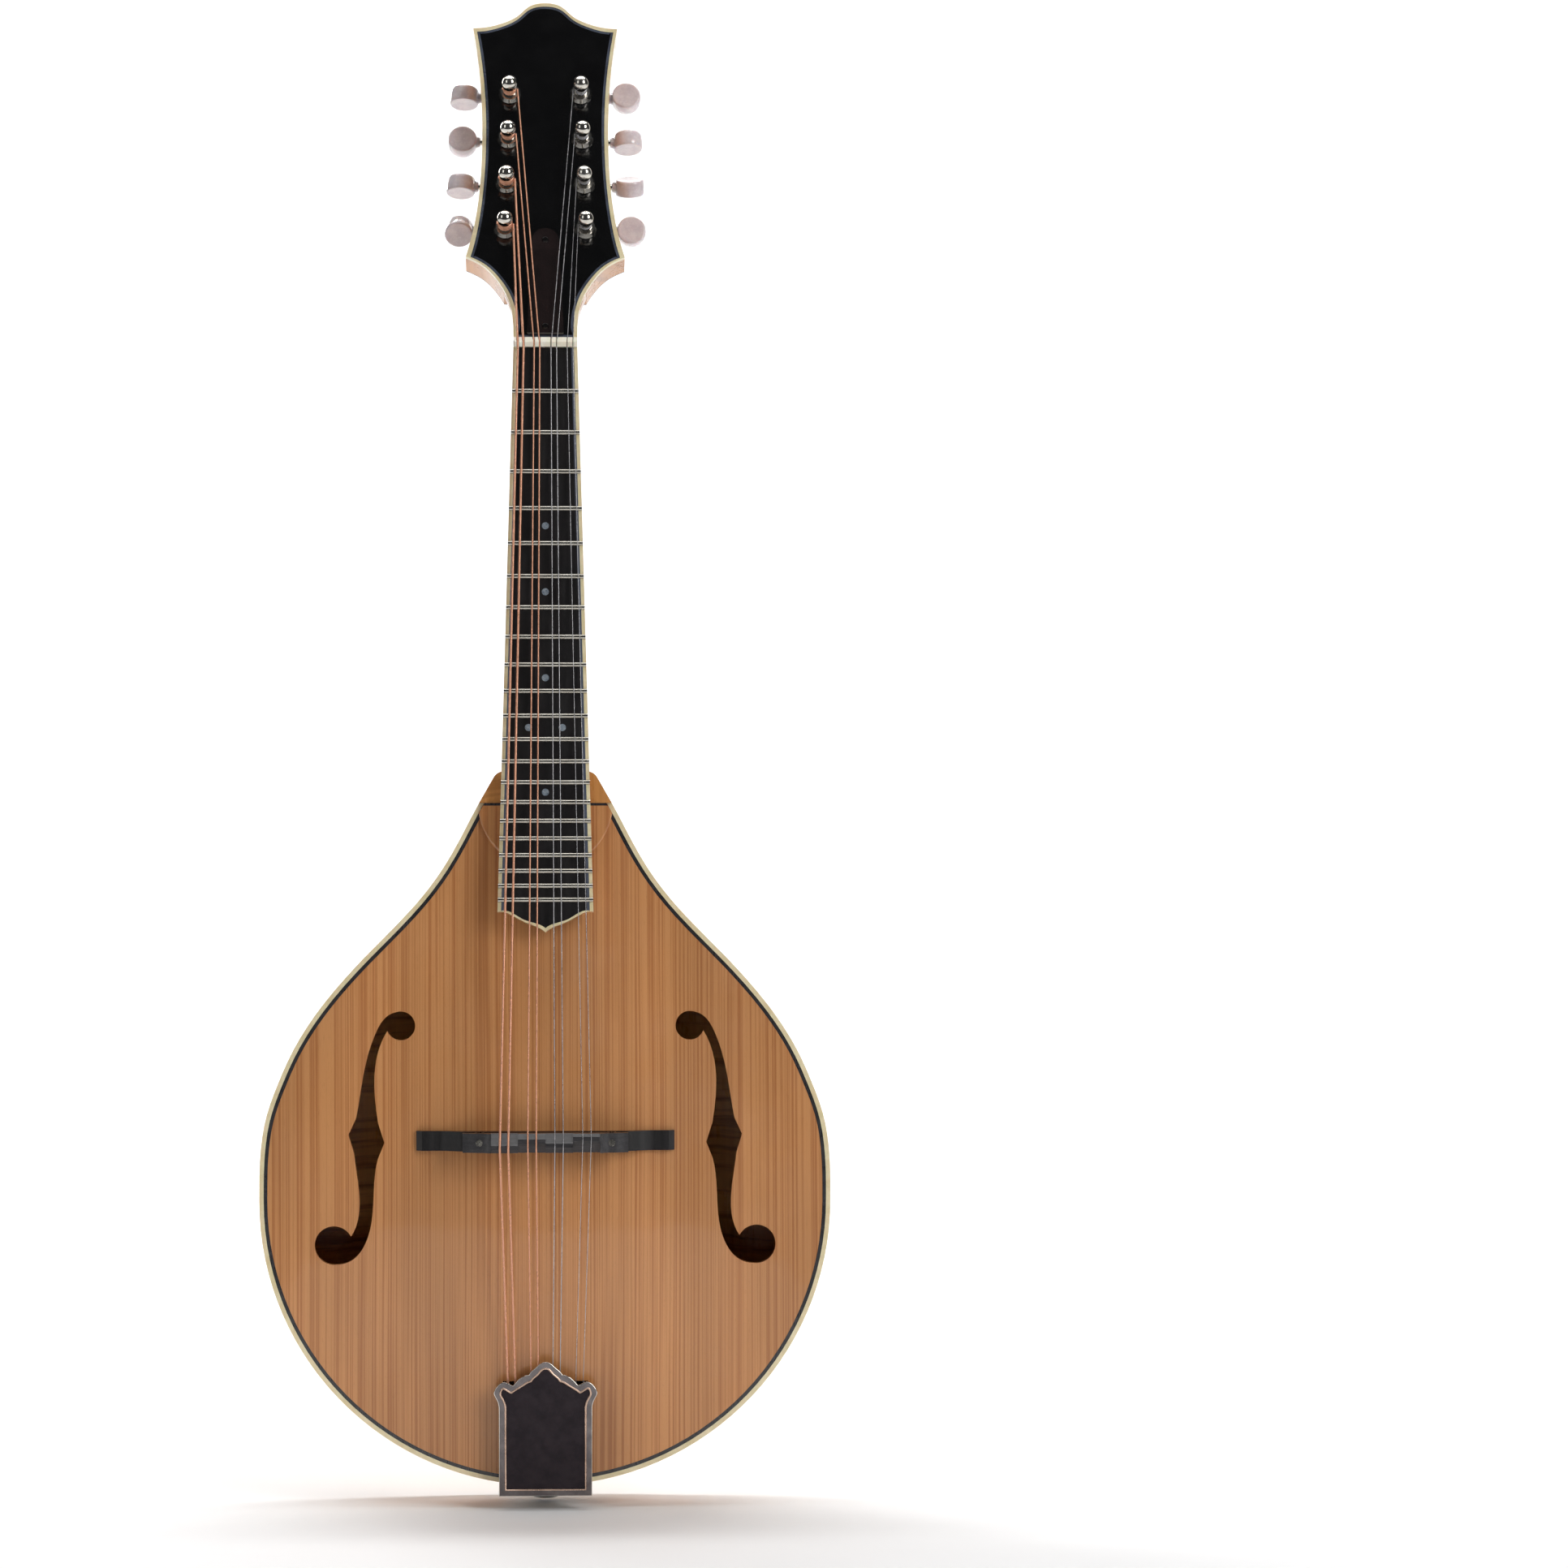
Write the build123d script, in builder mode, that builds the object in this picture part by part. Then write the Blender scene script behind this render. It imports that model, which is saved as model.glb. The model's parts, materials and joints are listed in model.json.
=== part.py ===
"""A-style f-hole mandolin as an assembly of its separate pieces, in millimetres.

Frame: the origin is on the neck's glue plane at the fingerboard edge of the nut,
+Z runs up to the peghead tip, -Y is the front (strings), +X is the treble side.
"""
from build123d import *
import math
import os
import numpy as np

os.makedirs("parts", exist_ok=True)

# ---------------------------------------------------------------- driving sizes
SCALE = 352.4              # open string length that sets the frets
NECK_ANGLE = 6.0           # neck falls back from the rim plane, degrees
PEG_ANGLE = 15.0           # peghead falls back from the neck, degrees
FRETS = 21

BODY_WIDTH = 254.0         # across the lower bout
LOWER_Z = -380.0           # centre of the round lower bout
JOINT_Z = -203.0           # flat joint between neck and body
SHOULDER_Z = -189.0        # top of the neck's shoulders and of the back
RIM_FRONT = 12.65          # rim's front edge, in front of the origin
RIM_DEPTH = 38.0
RIB_T = 2.2
TOP_EDGE = 4.5             # plate thickness at the edge
TOP_RISE = 11.0            # arch height over the edge
TOP_T = 4.2                # plate thickness in the middle
BACK_EDGE = 4.0
BACK_RISE = 11.0
BACK_T = 4.2
HOLLOW_EDGE = 1.2          # hollow's depth at the rim of the glued margin
BINDING_W = 2.0
PURFLING_W = 1.6
PURFLING_D = 1.6
LINING_W = 4.0
LINING_H = 7.0
BLOCK_TOP = 32.0           # head block's length
BLOCK_TAIL = 16.0
PAD_R = 30.0               # flat round pad at the neck joint
PAD_B = 6.8
PAD_FILLET = 0.9
STRIP_W = 1.2              # black strip across the joint

NUT_W = 28.6
NUT_T = 4.6
NUT_H = 7.3
BOARD_END_W = 42.4         # board width at its lower corners
BOARD_END = 253.0          # those corners, from the nut
BOARD_TIP = 9.0            # ogee point past the corners
BOARD_T = 5.0
BOARD_BIND = 1.6
FRET_W = 2.2
FRET_H = 1.1
TANG_W = 0.5
TANG_D = 1.6
DOT_D = 3.2
DOT_T = 1.4
DOT_FRETS = {5: [0.0], 7: [0.0], 10: [0.0], 12: [-7.5, 7.5], 15: [0.0]}

PEG_T = 13.0               # peghead wood
VENEER_T = 0.6
OVERLAY_T = 2.0
PEG_BIND = 1.8
PEG_TIP = 169.6            # along the peghead from the nut
PEG_LOWER = (35.8, 40.0)   # half width and place of the lower corners
PEG_UPPER = (33.0, 156.4)  # and of the upper corners
PEG_WAIST = (28.6, 103.0)
STINGER = 36.0             # point of the black back, below the nut

POST_1 = 54.0              # first post from the nut, along the peghead
POST_PITCH = 22.8
POST_X_LOW = 18.2          # half spacing of the posts at the nut end
POST_X_HIGH = 16.2         # and at the tip
POST_R = 2.9
POST_FIT = 0.06            # radial running clearance in the bushing
POST_TOP = 14.2            # under the post's cap, over the wood's face
CAP_R = 3.5
CAP_H = 2.4
BUSH_R = 4.2
BUSH_FLANGE_R = 5.0
BUSH_FLANGE_T = 2.6        # flange and cone over the overlay
BUSH_EDGE_T = 0.5
BUSH_L = 9.0
BUSH_FIT = 0.02
BORE_CLEAR = 0.6           # post in the wood below its bushing

PLATE_T = 1.0
PLATE_W = 16.6
PLATE_OVER = 9.0           # plate past the first post
PLATE_OVER_TIP = 12.6      # plate past the last post
RAIL_T = 1.5
RAIL_H = 6.6
GEAR_TEETH = 16
GEAR_R = 5.7
GEAR_T = 2.6
WORM_R = 3.05
WORM_CENTRE = 8.0          # worm axis from the post's axis
WORM_AXIS_W = 3.7          # worm axis behind the plate
WORM_L = 9.0
SHAFT_R = 1.5
SHAFT_FIT = 0.06
BUTTON_R = 6.75
BUTTON_T = 7.5
BUTTON_AWAY = 21.2         # button's centre from its post's axis

BRIDGE_S = 354.5           # bridge along the strings from the nut
BRIDGE_L = 114.3
BRIDGE_W = 8.7
BRIDGE_TOP = 19.6          # flat of the base over the rim plane
SADDLE_L = 73.0
SADDLE_FOOT = 24.4         # underside of the saddle
STUD_X = 29.2
STUD_R = 1.5
STUD_FIT = 0.06
WHEEL_R = 4.75
WHEEL_T = 2.2
SADDLE_TOP = 32.6          # saddle's crest over the rim plane

NUT_SLOT_H = 6.4           # floor of the nut's slots over the glue plane
STRING_GAP = 0.06

TAIL_LIP_Z = -459.0
TAIL_LIP_B = 11.6
TAIL_HOOK_Z = -474.0
TAIL_W = 40.7
TAIL_FLANGE_W = 37.8
TAIL_PLATE_T = 1.2
HINGE_B = 10.0
HINGE_OUT = 1.6            # hinge axis past the tail edge
HINGE_PIN_R = 0.8
HINGE_FIT = 0.06
COVER_T = 1.1
COVER_TAIL_B = 13.6        # cover's top over the rim plane at its tail
COVER_TIP_B = 17.4         # and at its tip
COVER_LEN = 59.5

# ---------------------------------------------------------------- frames
BOUT_R = BODY_WIDTH / 2
TAIL_Z = LOWER_Z - BOUT_R
JOINT_HALF = 29.5
CORNER_HALF = 21.5
BUTTON_HALF = 9.2          # back plate's tongue over the heel
BUTTON_Z = -178.0
ARCH_Z = -376.0            # crown of both arches
neck_rad = math.radians(NECK_ANGLE)
peg_rad = math.radians(NECK_ANGLE + PEG_ANGLE)

RIM = Plane(origin=(0, -RIM_FRONT, 0), x_dir=(1, 0, 0), z_dir=(0, -1, 0))
NECK = Plane(origin=(0, 0, 0), x_dir=(1, 0, 0), z_dir=(0, -math.cos(neck_rad), math.sin(neck_rad)))
PEG = Plane(
    origin=NECK.from_local_coords(Vector(0, NUT_T, 0)),
    x_dir=(1, 0, 0),
    z_dir=(0, -math.cos(peg_rad), math.sin(peg_rad)),
)


def rim_point(x, z, b):
    """World point at height b in front of the rim's front plane."""
    return Vector(x, -RIM_FRONT - b, z)


def neck_point(x, s, h):
    """World point s below the nut along the neck and h over its glue plane."""
    return NECK.from_local_coords(Vector(x, -s, h))


def across_neck(s):
    """Plane across the neck at s, its y axis pointing to the neck's back."""
    return Plane(origin=neck_point(0, s, 0), x_dir=(1, 0, 0), z_dir=NECK.y_dir)


def peg_plane(x, u, w):
    """Plane at a place on the peghead, facing out of its face."""
    return Plane(origin=PEG.from_local_coords(Vector(x, u, w)), x_dir=(1, 0, 0), z_dir=PEG.z_dir)


def fret_place(n):
    return SCALE * (1 - 2 ** (-n / 12))


def board_half(s):
    """Half width of the bound fingerboard at s."""
    return NUT_W / 2 + (BOARD_END_W - NUT_W) / 2 * s / BOARD_END


def save(part, name):
    part.label = name
    export_step(part, f"parts/{name}.step")


# ---------------------------------------------------------------- outlines
# the flank between the neck joint and the lower bout, as shares of each span
FLANK = [(0.145, 0.142), (0.267, 0.308), (0.390, 0.525), (0.512, 0.718), (0.634, 0.858), (0.757, 0.950)]


SHOULDER_SLOPE = (0.56, -1)
SHOULDER_FILLET = 5.0
TIP_FILLET = 4.0
ROOT_FILLET = 2.5
span_x = BOUT_R - JOINT_HALF
span_z = LOWER_Z - JOINT_Z
FLANK_CURVE = Spline(
    (JOINT_HALF, JOINT_Z), *[(JOINT_HALF + fx * span_x, JOINT_Z + fz * span_z) for fz, fx in FLANK],
    (BOUT_R, LOWER_Z), tangents=[SHOULDER_SLOPE, (0, -1)],
)


def flank_inside(inset, count=12):
    """Points of the flank curve drawn in by an inset, each along its own normal."""
    points = []
    for i in range(count + 1):
        at = FLANK_CURVE.position_at(i / count)
        along = FLANK_CURVE.tangent_at(i / count)
        points.append((at.X + along.Y * inset, at.Y - along.X * inset))
    return points


def outline(inset=0.0, with_button=False):
    """Body outline drawn in by an inset, with the shoulders and if asked the back's button."""
    lean = math.atan2(JOINT_HALF - CORNER_HALF, SHOULDER_Z - JOINT_Z)
    corner = CORNER_HALF - inset * (1 / math.cos(lean) - math.tan(lean))
    top = SHOULDER_Z - inset
    flank = flank_inside(inset)
    with BuildSketch(mode=Mode.PRIVATE) as face:
        with BuildLine():
            Line((0, top), (corner, top))
            Line((corner, top), flank[0])
            Spline(*flank, tangents=[SHOULDER_SLOPE, (0, -1)])
            RadiusArc((BOUT_R - inset, LOWER_Z), (0, TAIL_Z + inset), BOUT_R - inset)
            mirror(about=Plane.YZ)
        make_face()
        shoulders = [v for v in face.vertices() if abs(v.Y - top) < 0.01 and abs(v.X) > 1]
        fillet(shoulders, radius=max(SHOULDER_FILLET - inset, 1))
        if with_button:
            tongue = 2 * (BUTTON_Z - SHOULDER_Z)
            with Locations((0, top)):
                Rectangle(2 * (BUTTON_HALF - inset), tongue)
            tips = [v for v in face.vertices() if abs(v.Y - top - tongue / 2) < 0.01]
            fillet(tips, radius=TIP_FILLET - inset)
            roots = [v for v in face.vertices() if abs(v.Y - top) < 0.01 and abs(v.X) < BUTTON_HALF + 0.1]
            fillet(roots, radius=ROOT_FILLET + inset)
    return face.sketch


BODY = outline()
BELOW_JOINT = Pos(0, JOINT_Z) * Rectangle(2 * BODY_WIDTH, 800, align=(Align.CENTER, Align.MAX))


def ring(outer, inner, with_button=False):
    """Band of the outline between two insets."""
    return outline(outer, with_button) - outline(inner, with_button)


# polar radius of the body about the arch centre, from points along its edge
def polar_outline():
    wire = BODY.faces()[0].outer_wire()
    points = [wire.position_at(i / 720) for i in range(720)]
    angle = np.array([math.atan2(p.Y - ARCH_Z, p.X) for p in points])
    radius = np.array([math.hypot(p.X, p.Y - ARCH_Z) for p in points])
    order = np.argsort(angle)
    return angle[order], radius[order]


POLAR_ANGLE, POLAR_RADIUS = polar_outline()


def arch_share(x, z, shrink=1.0):
    """1 at the crown, 0 at the edge, with a flat recurve near the edge."""
    reach = np.interp(math.atan2(z - ARCH_Z, x), POLAR_ANGLE, POLAR_RADIUS, period=2 * math.pi) * shrink
    rho = min(1.0, math.hypot(x, z - ARCH_Z) / reach)
    return (1 + math.cos(math.pi * rho ** 1.2)) / 2


def arch_surface(height, step_x=11.0, step_z=11.0):
    """B-spline sheet of a height over the rim plane, larger than the body."""
    half_x = BOUT_R + 8
    low, high = TAIL_Z - 8, BUTTON_Z + 12
    nx = int(2 * half_x / step_x) + 1
    nz = int((high - low) / step_z) + 1
    xs = np.linspace(-half_x, half_x, nx)
    zs = np.linspace(low, high, nz)
    rows = [[rim_point(x, z, height(x, z)) for z in zs] for x in xs]
    return Face.make_surface_from_array_of_points(rows, tol=0.02, min_deg=3, max_deg=3)


def top_outer(x, z):
    return TOP_EDGE + TOP_RISE * arch_share(x, z)


def top_inner(x, z):
    rise = TOP_EDGE + TOP_RISE - TOP_T - HOLLOW_EDGE
    return HOLLOW_EDGE + rise * arch_share(x, z, 0.94)


def back_outer(x, z):
    return -RIM_DEPTH - BACK_EDGE - BACK_RISE * arch_share(x, z)


def back_inner(x, z):
    rise = BACK_EDGE + BACK_RISE - BACK_T - HOLLOW_EDGE
    return -RIM_DEPTH - HOLLOW_EDGE - rise * arch_share(x, z, 0.94)


# each sheet is swept into a block that fills the space behind or before it
DEEP = 60
UNDER_TOP = extrude(arch_surface(top_outer), amount=DEEP, dir=(0, 1, 0))
TOP_HOLLOW = extrude(arch_surface(top_inner), amount=DEEP, dir=(0, 1, 0))
OVER_BACK = extrude(arch_surface(back_outer), amount=DEEP, dir=(0, -1, 0))
BACK_HOLLOW = extrude(arch_surface(back_inner), amount=DEEP, dir=(0, -1, 0))

GLUE_MARGIN = RIB_T + LINING_W + 0.8
with BuildSketch() as hollow_sketch:
    add(outline(GLUE_MARGIN))
    with Locations((0, JOINT_Z - BLOCK_TOP - 1)):
        Rectangle(2 * BODY_WIDTH, 400, align=(Align.CENTER, Align.MIN), mode=Mode.SUBTRACT)
    with Locations((0, TAIL_Z + BLOCK_TAIL + 1)):
        Rectangle(80, 60, align=(Align.CENTER, Align.MAX), mode=Mode.SUBTRACT)
HOLLOW = hollow_sketch.sketch

# ---------------------------------------------------------------- f-holes
EYE_UP = (64.2, -302.0, 6.4)
EYE_LOW = (93.8, -399.5, 8.6)


def f_hole():
    """Treble f-hole: two eyes joined by a waisted slot with two nicks."""
    with BuildSketch() as hole:
        with Locations(EYE_UP[:2]):
            Circle(EYE_UP[2])
        with Locations(EYE_LOW[:2]):
            Circle(EYE_LOW[2])
        with BuildLine():
            Spline((62.5, -295.8), (70.6, -298.0), (75.5, -305.6), (81.5, -328.0), (84.0, -343.0))
            Line((84.0, -343.0), (87.4, -350.4))
            Line((87.4, -350.4), (84.9, -358.5))
            Spline((84.9, -358.5), (82.7, -375.0), (84.2, -391.5), (87.0, -396.5))
            Line((87.0, -396.5), (92.0, -408.0))
            Spline((92.0, -408.0), (84.0, -404.6), (79.0, -396.5), (76.3, -380.0), (74.3, -361.0))
            Line((74.3, -361.0), (71.4, -353.7))
            Line((71.4, -353.7), (74.2, -345.0))
            Spline((74.2, -345.0), (75.9, -326.0), (73.6, -311.5), (70.4, -304.6))
            Line((70.4, -304.6), (62.5, -295.8))
        make_face()
    return hole.sketch


F_HOLE = f_hole()

# ---------------------------------------------------------------- body
with BuildPart() as top_plate:
    with BuildSketch(RIM):
        add(outline(BINDING_W) & BELOW_JOINT)
    extrude(amount=TOP_EDGE + TOP_RISE + 5)
    add(UNDER_TOP, mode=Mode.INTERSECT)
    with BuildSketch(RIM):
        with Locations((0, JOINT_Z)):
            Circle(PAD_R)
        add(outline(BINDING_W + 0.2) & BELOW_JOINT, mode=Mode.INTERSECT)
    extrude(amount=PAD_B)
    pad_rim = top_plate.edges().filter_by(GeomType.CIRCLE).sort_by(Axis.Y)[0]
    fillet(pad_rim, radius=PAD_FILLET)
    with BuildSketch(RIM.offset(TOP_EDGE - PURFLING_D)):
        add(ring(BINDING_W, BINDING_W + PURFLING_W))
        with Locations((0, JOINT_Z)):
            Circle(PAD_R, mode=Mode.SUBTRACT)
    extrude(amount=10, mode=Mode.SUBTRACT)
    with BuildSketch(RIM.offset(PAD_B - PURFLING_D)):
        with Locations((0, JOINT_Z)):
            Rectangle(2 * PAD_R, STRIP_W, align=(Align.CENTER, Align.MAX))
    extrude(amount=10, mode=Mode.SUBTRACT)
    with BuildPart(mode=Mode.PRIVATE) as top_hollow:
        with BuildSketch(RIM.offset(-5)):
            add(HOLLOW)
        extrude(amount=40)
        add(TOP_HOLLOW, mode=Mode.INTERSECT)
    add(top_hollow.part, mode=Mode.SUBTRACT)
    with BuildSketch(RIM):
        add(F_HOLE)
        mirror(F_HOLE, about=Plane.YZ)
    extrude(amount=40, mode=Mode.SUBTRACT)
save(top_plate.part, "top_plate")

for side, keep_x in (("bass", -1), ("treble", 1)):
    with BuildPart() as back_half:
        with BuildSketch(RIM.offset(-RIM_DEPTH)):
            add(outline(BINDING_W, True))
            with Locations((keep_x * BODY_WIDTH, LOWER_Z)):
                Rectangle(2 * BODY_WIDTH, 3 * BODY_WIDTH, mode=Mode.INTERSECT)
        extrude(amount=-(BACK_EDGE + BACK_RISE + 5))
        add(OVER_BACK, mode=Mode.INTERSECT)
        with BuildPart(mode=Mode.PRIVATE) as back_hollow:
            with BuildSketch(RIM.offset(-RIM_DEPTH + 5)):
                add(HOLLOW)
            extrude(amount=-40)
            add(BACK_HOLLOW, mode=Mode.INTERSECT)
        add(back_hollow.part, mode=Mode.SUBTRACT)
        with BuildSketch(RIM.offset(-RIM_DEPTH - BACK_EDGE + PURFLING_D)):
            add(ring(BINDING_W, BINDING_W + PURFLING_W, True))
        extrude(amount=-10, mode=Mode.SUBTRACT)
    save(back_half.part, f"back_plate_{side}")

with BuildPart() as body_binding:
    with BuildSketch(RIM):
        add(ring(0, BINDING_W) & BELOW_JOINT)
    extrude(amount=TOP_EDGE + 0.1)
    with BuildSketch(RIM.offset(-RIM_DEPTH)):
        add(ring(0, BINDING_W, True))
    extrude(amount=-(BACK_EDGE + 0.1))
save(body_binding.part, "body_binding")

with BuildPart() as purfling:
    with BuildSketch(RIM.offset(TOP_EDGE - PURFLING_D)):
        add(ring(BINDING_W, BINDING_W + PURFLING_W) & BELOW_JOINT)
        with Locations((0, JOINT_Z)):
            Circle(PAD_R, mode=Mode.SUBTRACT)
    extrude(amount=PURFLING_D + 0.08)
    with BuildSketch(RIM.offset(PAD_B - PURFLING_D)):
        with Locations((0, JOINT_Z)):
            Rectangle(2 * JOINT_HALF, STRIP_W, align=(Align.CENTER, Align.MAX))
        add(outline(BINDING_W + 0.2), mode=Mode.INTERSECT)
    extrude(amount=PURFLING_D)
    with BuildSketch(RIM.offset(-RIM_DEPTH - BACK_EDGE + PURFLING_D)):
        add(ring(BINDING_W, BINDING_W + PURFLING_W, True))
    extrude(amount=-(PURFLING_D + 0.08))
save(purfling.part, "purfling")

END_PIN_B = -RIM_DEPTH / 2
END_PIN_R = 4.0
FLANGE_SCREW_X = 12.0
FLANGE_SCREW_R = 1.3
SEAM = 0.04                # glue seam of the ribs, and the play between stacked pieces


def drill_tail(start_z, depth):
    """End pin's hole and the two flange screws' holes, drilled up into the tail."""
    tail = Plane(origin=rim_point(0, start_z, END_PIN_B), x_dir=(1, 0, 0), z_dir=(0, 0, -1))
    with Locations(tail):
        Hole(radius=END_PIN_R, depth=depth)
        with GridLocations(2 * FLANGE_SCREW_X, 0, 2, 1):
            Hole(radius=FLANGE_SCREW_R, depth=depth)


with BuildPart() as ribs:
    with BuildSketch(RIM):
        add(ring(0, RIB_T) & BELOW_JOINT)
        with Locations((0, TAIL_Z)):
            Rectangle(SEAM, 4 * RIB_T, mode=Mode.SUBTRACT)
    extrude(amount=-RIM_DEPTH)
    drill_tail(TAIL_Z - 1, 2 * RIB_T)
save(ribs.part, "ribs")

with BuildPart() as linings:
    for start, height in ((0, -LINING_H), (-RIM_DEPTH, LINING_H)):
        with BuildSketch(RIM.offset(start)):
            add(ring(RIB_T, RIB_T + LINING_W))
            with Locations((0, JOINT_Z - BLOCK_TOP)):
                Rectangle(BODY_WIDTH, 200, align=(Align.CENTER, Align.MIN), mode=Mode.SUBTRACT)
            with Locations((0, TAIL_Z)):
                Rectangle(60, 4 * BLOCK_TAIL, mode=Mode.SUBTRACT)
        extrude(amount=height)
save(linings.part, "linings")

TENON_TOP = -2.0
TENON_HALF = (11.0, 14.0)  # at the joint and at its end
TENON_L = 20.0
with BuildSketch() as tenon_sketch:
    with BuildLine():
        Polyline(
            (-TENON_HALF[0], JOINT_Z), (TENON_HALF[0], JOINT_Z),
            (TENON_HALF[1], JOINT_Z - TENON_L), (-TENON_HALF[1], JOINT_Z - TENON_L), close=True,
        )
    make_face()
TENON = tenon_sketch.sketch

with BuildPart() as head_block:
    with BuildSketch(RIM):
        add(outline(RIB_T))
        with Locations((0, JOINT_Z - BLOCK_TOP / 2)):
            Rectangle(BODY_WIDTH, BLOCK_TOP, mode=Mode.INTERSECT)
    extrude(amount=-RIM_DEPTH)
    with BuildSketch(RIM.offset(TENON_TOP)):
        add(TENON)
    extrude(amount=-RIM_DEPTH, mode=Mode.SUBTRACT)
save(head_block.part, "head_block")

with BuildPart() as tail_block:
    with BuildSketch(RIM):
        add(outline(RIB_T))
        with Locations((0, TAIL_Z)):
            Rectangle(56, 2 * BLOCK_TAIL, mode=Mode.INTERSECT)
    extrude(amount=-RIM_DEPTH)
    drill_tail(TAIL_Z, BLOCK_TAIL + 2)
save(tail_block.part, "tail_block")

with BuildPart() as tone_bars:
    for sign in (-1, 1):
        with BuildSketch(RIM.offset(2.6)):
            with Locations(Location((sign * 31, ARCH_Z + 6), sign * 5)):
                SlotOverall(190, 5.5, rotation=90)
        extrude(amount=20)
    add(TOP_HOLLOW, mode=Mode.INTERSECT)
save(tone_bars.part, "tone_bars")


# ---------------------------------------------------------------- neck
SHAFT_DEPTH = 13.6         # neck behind the glue plane at the nut
HEEL_GROWTH = 5.5          # length in which the heel's depth grows by e
HEEL_CAP_S = 174.4         # where the heel's back edge meets the back plate
PEG_BLEND = 26.0           # neck becomes the flat peghead by here
PEG_BACK = -(PEG_T - VENEER_T)


def heel_depth(s):
    """Depth of the neck behind its glue plane: a shaft that sweeps into the heel."""
    shaft = SHAFT_DEPTH + 2.2 * s / 150
    return shaft + 28.5 * math.exp((s - HEEL_CAP_S) / HEEL_GROWTH)


HEEL_FROM = 140.0          # section starts to narrow towards the heel cap here
HEEL_FULL = 176.0
HEEL_END = 196.0
NECK_STATIONS = [0, 70, 130, 142, 150, 155, 159, 162, 165, 167.5, 170, 172, 174, 176, 186, HEEL_END]


def section(plane, half, depth, side, low, count=10):
    """Closed D section hanging from a flat top edge; side and low shape its curve."""
    points = []
    for i in range(count + 1):
        turn = math.pi * i / count
        x = -half * math.copysign(abs(math.cos(turn)) ** side, math.cos(turn))
        points.append((x, depth * math.sin(turn) ** low))
    with BuildSketch(plane, mode=Mode.PRIVATE) as face:
        with BuildLine():
            Spline(*points, tangents=[(0, 1), (0, -1)])
            Line(points[0], points[-1])
        make_face()
    return face.sketch


def neck_shaft(skin=0.0):
    """Neck and heel behind the glue plane, drawn in by a skin thickness."""
    sections = []
    for s in NECK_STATIONS:
        narrow = min(max((s - HEEL_FROM) / (HEEL_FULL - HEEL_FROM), 0), 1)
        low = 1 + 1.2 * narrow * narrow * (3 - 2 * narrow)
        depth = heel_depth(min(s, HEEL_FULL)) - skin
        sections.append(section(across_neck(s), board_half(min(s, 190)) - skin, depth, 1.0, low))
    return loft(sections, ruled=True)


# place along the peghead, half width and squareness of the blend's sections
PEG_STATIONS = [(7.0, 14.4, 0.82), (13.0, 15.0, 0.66), (19.0, 16.8, 0.52), (PEG_BLEND, 19.4, 0.4)]


def peg_blend(skin=0.0):
    """Short stretch that carries the neck's round back into the flat peghead."""
    root = board_half(0) - skin
    sections = [
        section(across_neck(0), root, heel_depth(0) - skin, 1.0, 1.0),
        section(across_neck(-NUT_T), root, heel_depth(0) - 0.2 - skin, 0.95, 0.95),
    ]
    for u, half, square in PEG_STATIONS:
        plane = Plane(origin=PEG.from_local_coords(Vector(0, u, 0)), x_dir=(1, 0, 0), z_dir=PEG.y_dir)
        sections.append(section(plane, half - skin, PEG_T - skin, square, square))
    return loft(sections, ruled=True)


def peg_outline(inset=0.0):
    """Peghead seen from the front: flared foot, waisted sides and an ogee crown."""
    lower = (PEG_LOWER[0] - inset * 1.2, PEG_LOWER[1] - inset * 0.1)
    upper = (PEG_UPPER[0] - inset, PEG_UPPER[1] - inset)
    with BuildSketch(mode=Mode.PRIVATE) as face:
        with BuildLine():
            Line((0, 0), (NUT_W / 2 - inset, 0))
            Spline(
                (NUT_W / 2 - inset, 0), (14.7 - inset, 10.5), (17.9 - inset, 22.0),
                (24.3 - inset * 0.9, 32.0), lower,
                tangents=[(0, 1), (1, 0.42)],
            )
            Spline(lower, (31.3 - inset, 60.0), (PEG_WAIST[0] - inset, PEG_WAIST[1]), upper,
                   tangents=[(-0.30, 1), (0.17, 1)])
            Spline(
                upper, (20.6, 158.6 - inset), (12.4, 163.0 - inset), (0, PEG_TIP - inset),
                tangents=[(-1, 0), (-1, 0)],
            )
            mirror(about=Plane.YZ)
        make_face()
    return face.sketch


def stinger_outline():
    """Black back: the whole peghead and a point down the neck, seen from the front."""
    with BuildSketch(mode=Mode.PRIVATE) as face:
        with BuildLine():
            Line((0, 200), (60, 200))
            Line((60, 200), (60, 37))
            Line((60, 37), (33.0, 35.0))
            Spline((33.0, 35.0), (20.5, 22.0), (11.5, 8.0), (6.8, -6.0), (3.8, -26.0), (0, -STINGER),
                   tangents=[(-1, -0.6), (-0.5, -0.9)])
            mirror(about=Plane.YZ)
        make_face()
    return face.sketch


def post_places():
    """Each post's number, side sign, and place on the peghead's face."""
    for column, sign in (("bass", -1), ("treble", 1)):
        for k in range(4):
            x = POST_X_HIGH + (POST_X_LOW - POST_X_HIGH) * k / 3
            yield column, sign, k, sign * x, POST_1 + POST_PITCH * (3 - k)


POSTS = list(post_places())
BACK_W = -PEG_T            # back of the peghead, over its wood's face
PLATE_BACK_W = BACK_W - PLATE_T
COLUMN_STEP = math.hypot(3 * POST_PITCH, POST_X_LOW - POST_X_HIGH) / 3
MID_SCREW = 2 * COLUMN_STEP - 7.9
END_SCREW = 4.2            # end screws past the plate's straight part
PLATE_SCREW_R = 1.1
PLATE_SCREW_L = 8.0
SCREW_PLACES = [MID_SCREW, 3 * COLUMN_STEP + PLATE_OVER_TIP + END_SCREW, -PLATE_OVER - END_SCREW]


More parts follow.
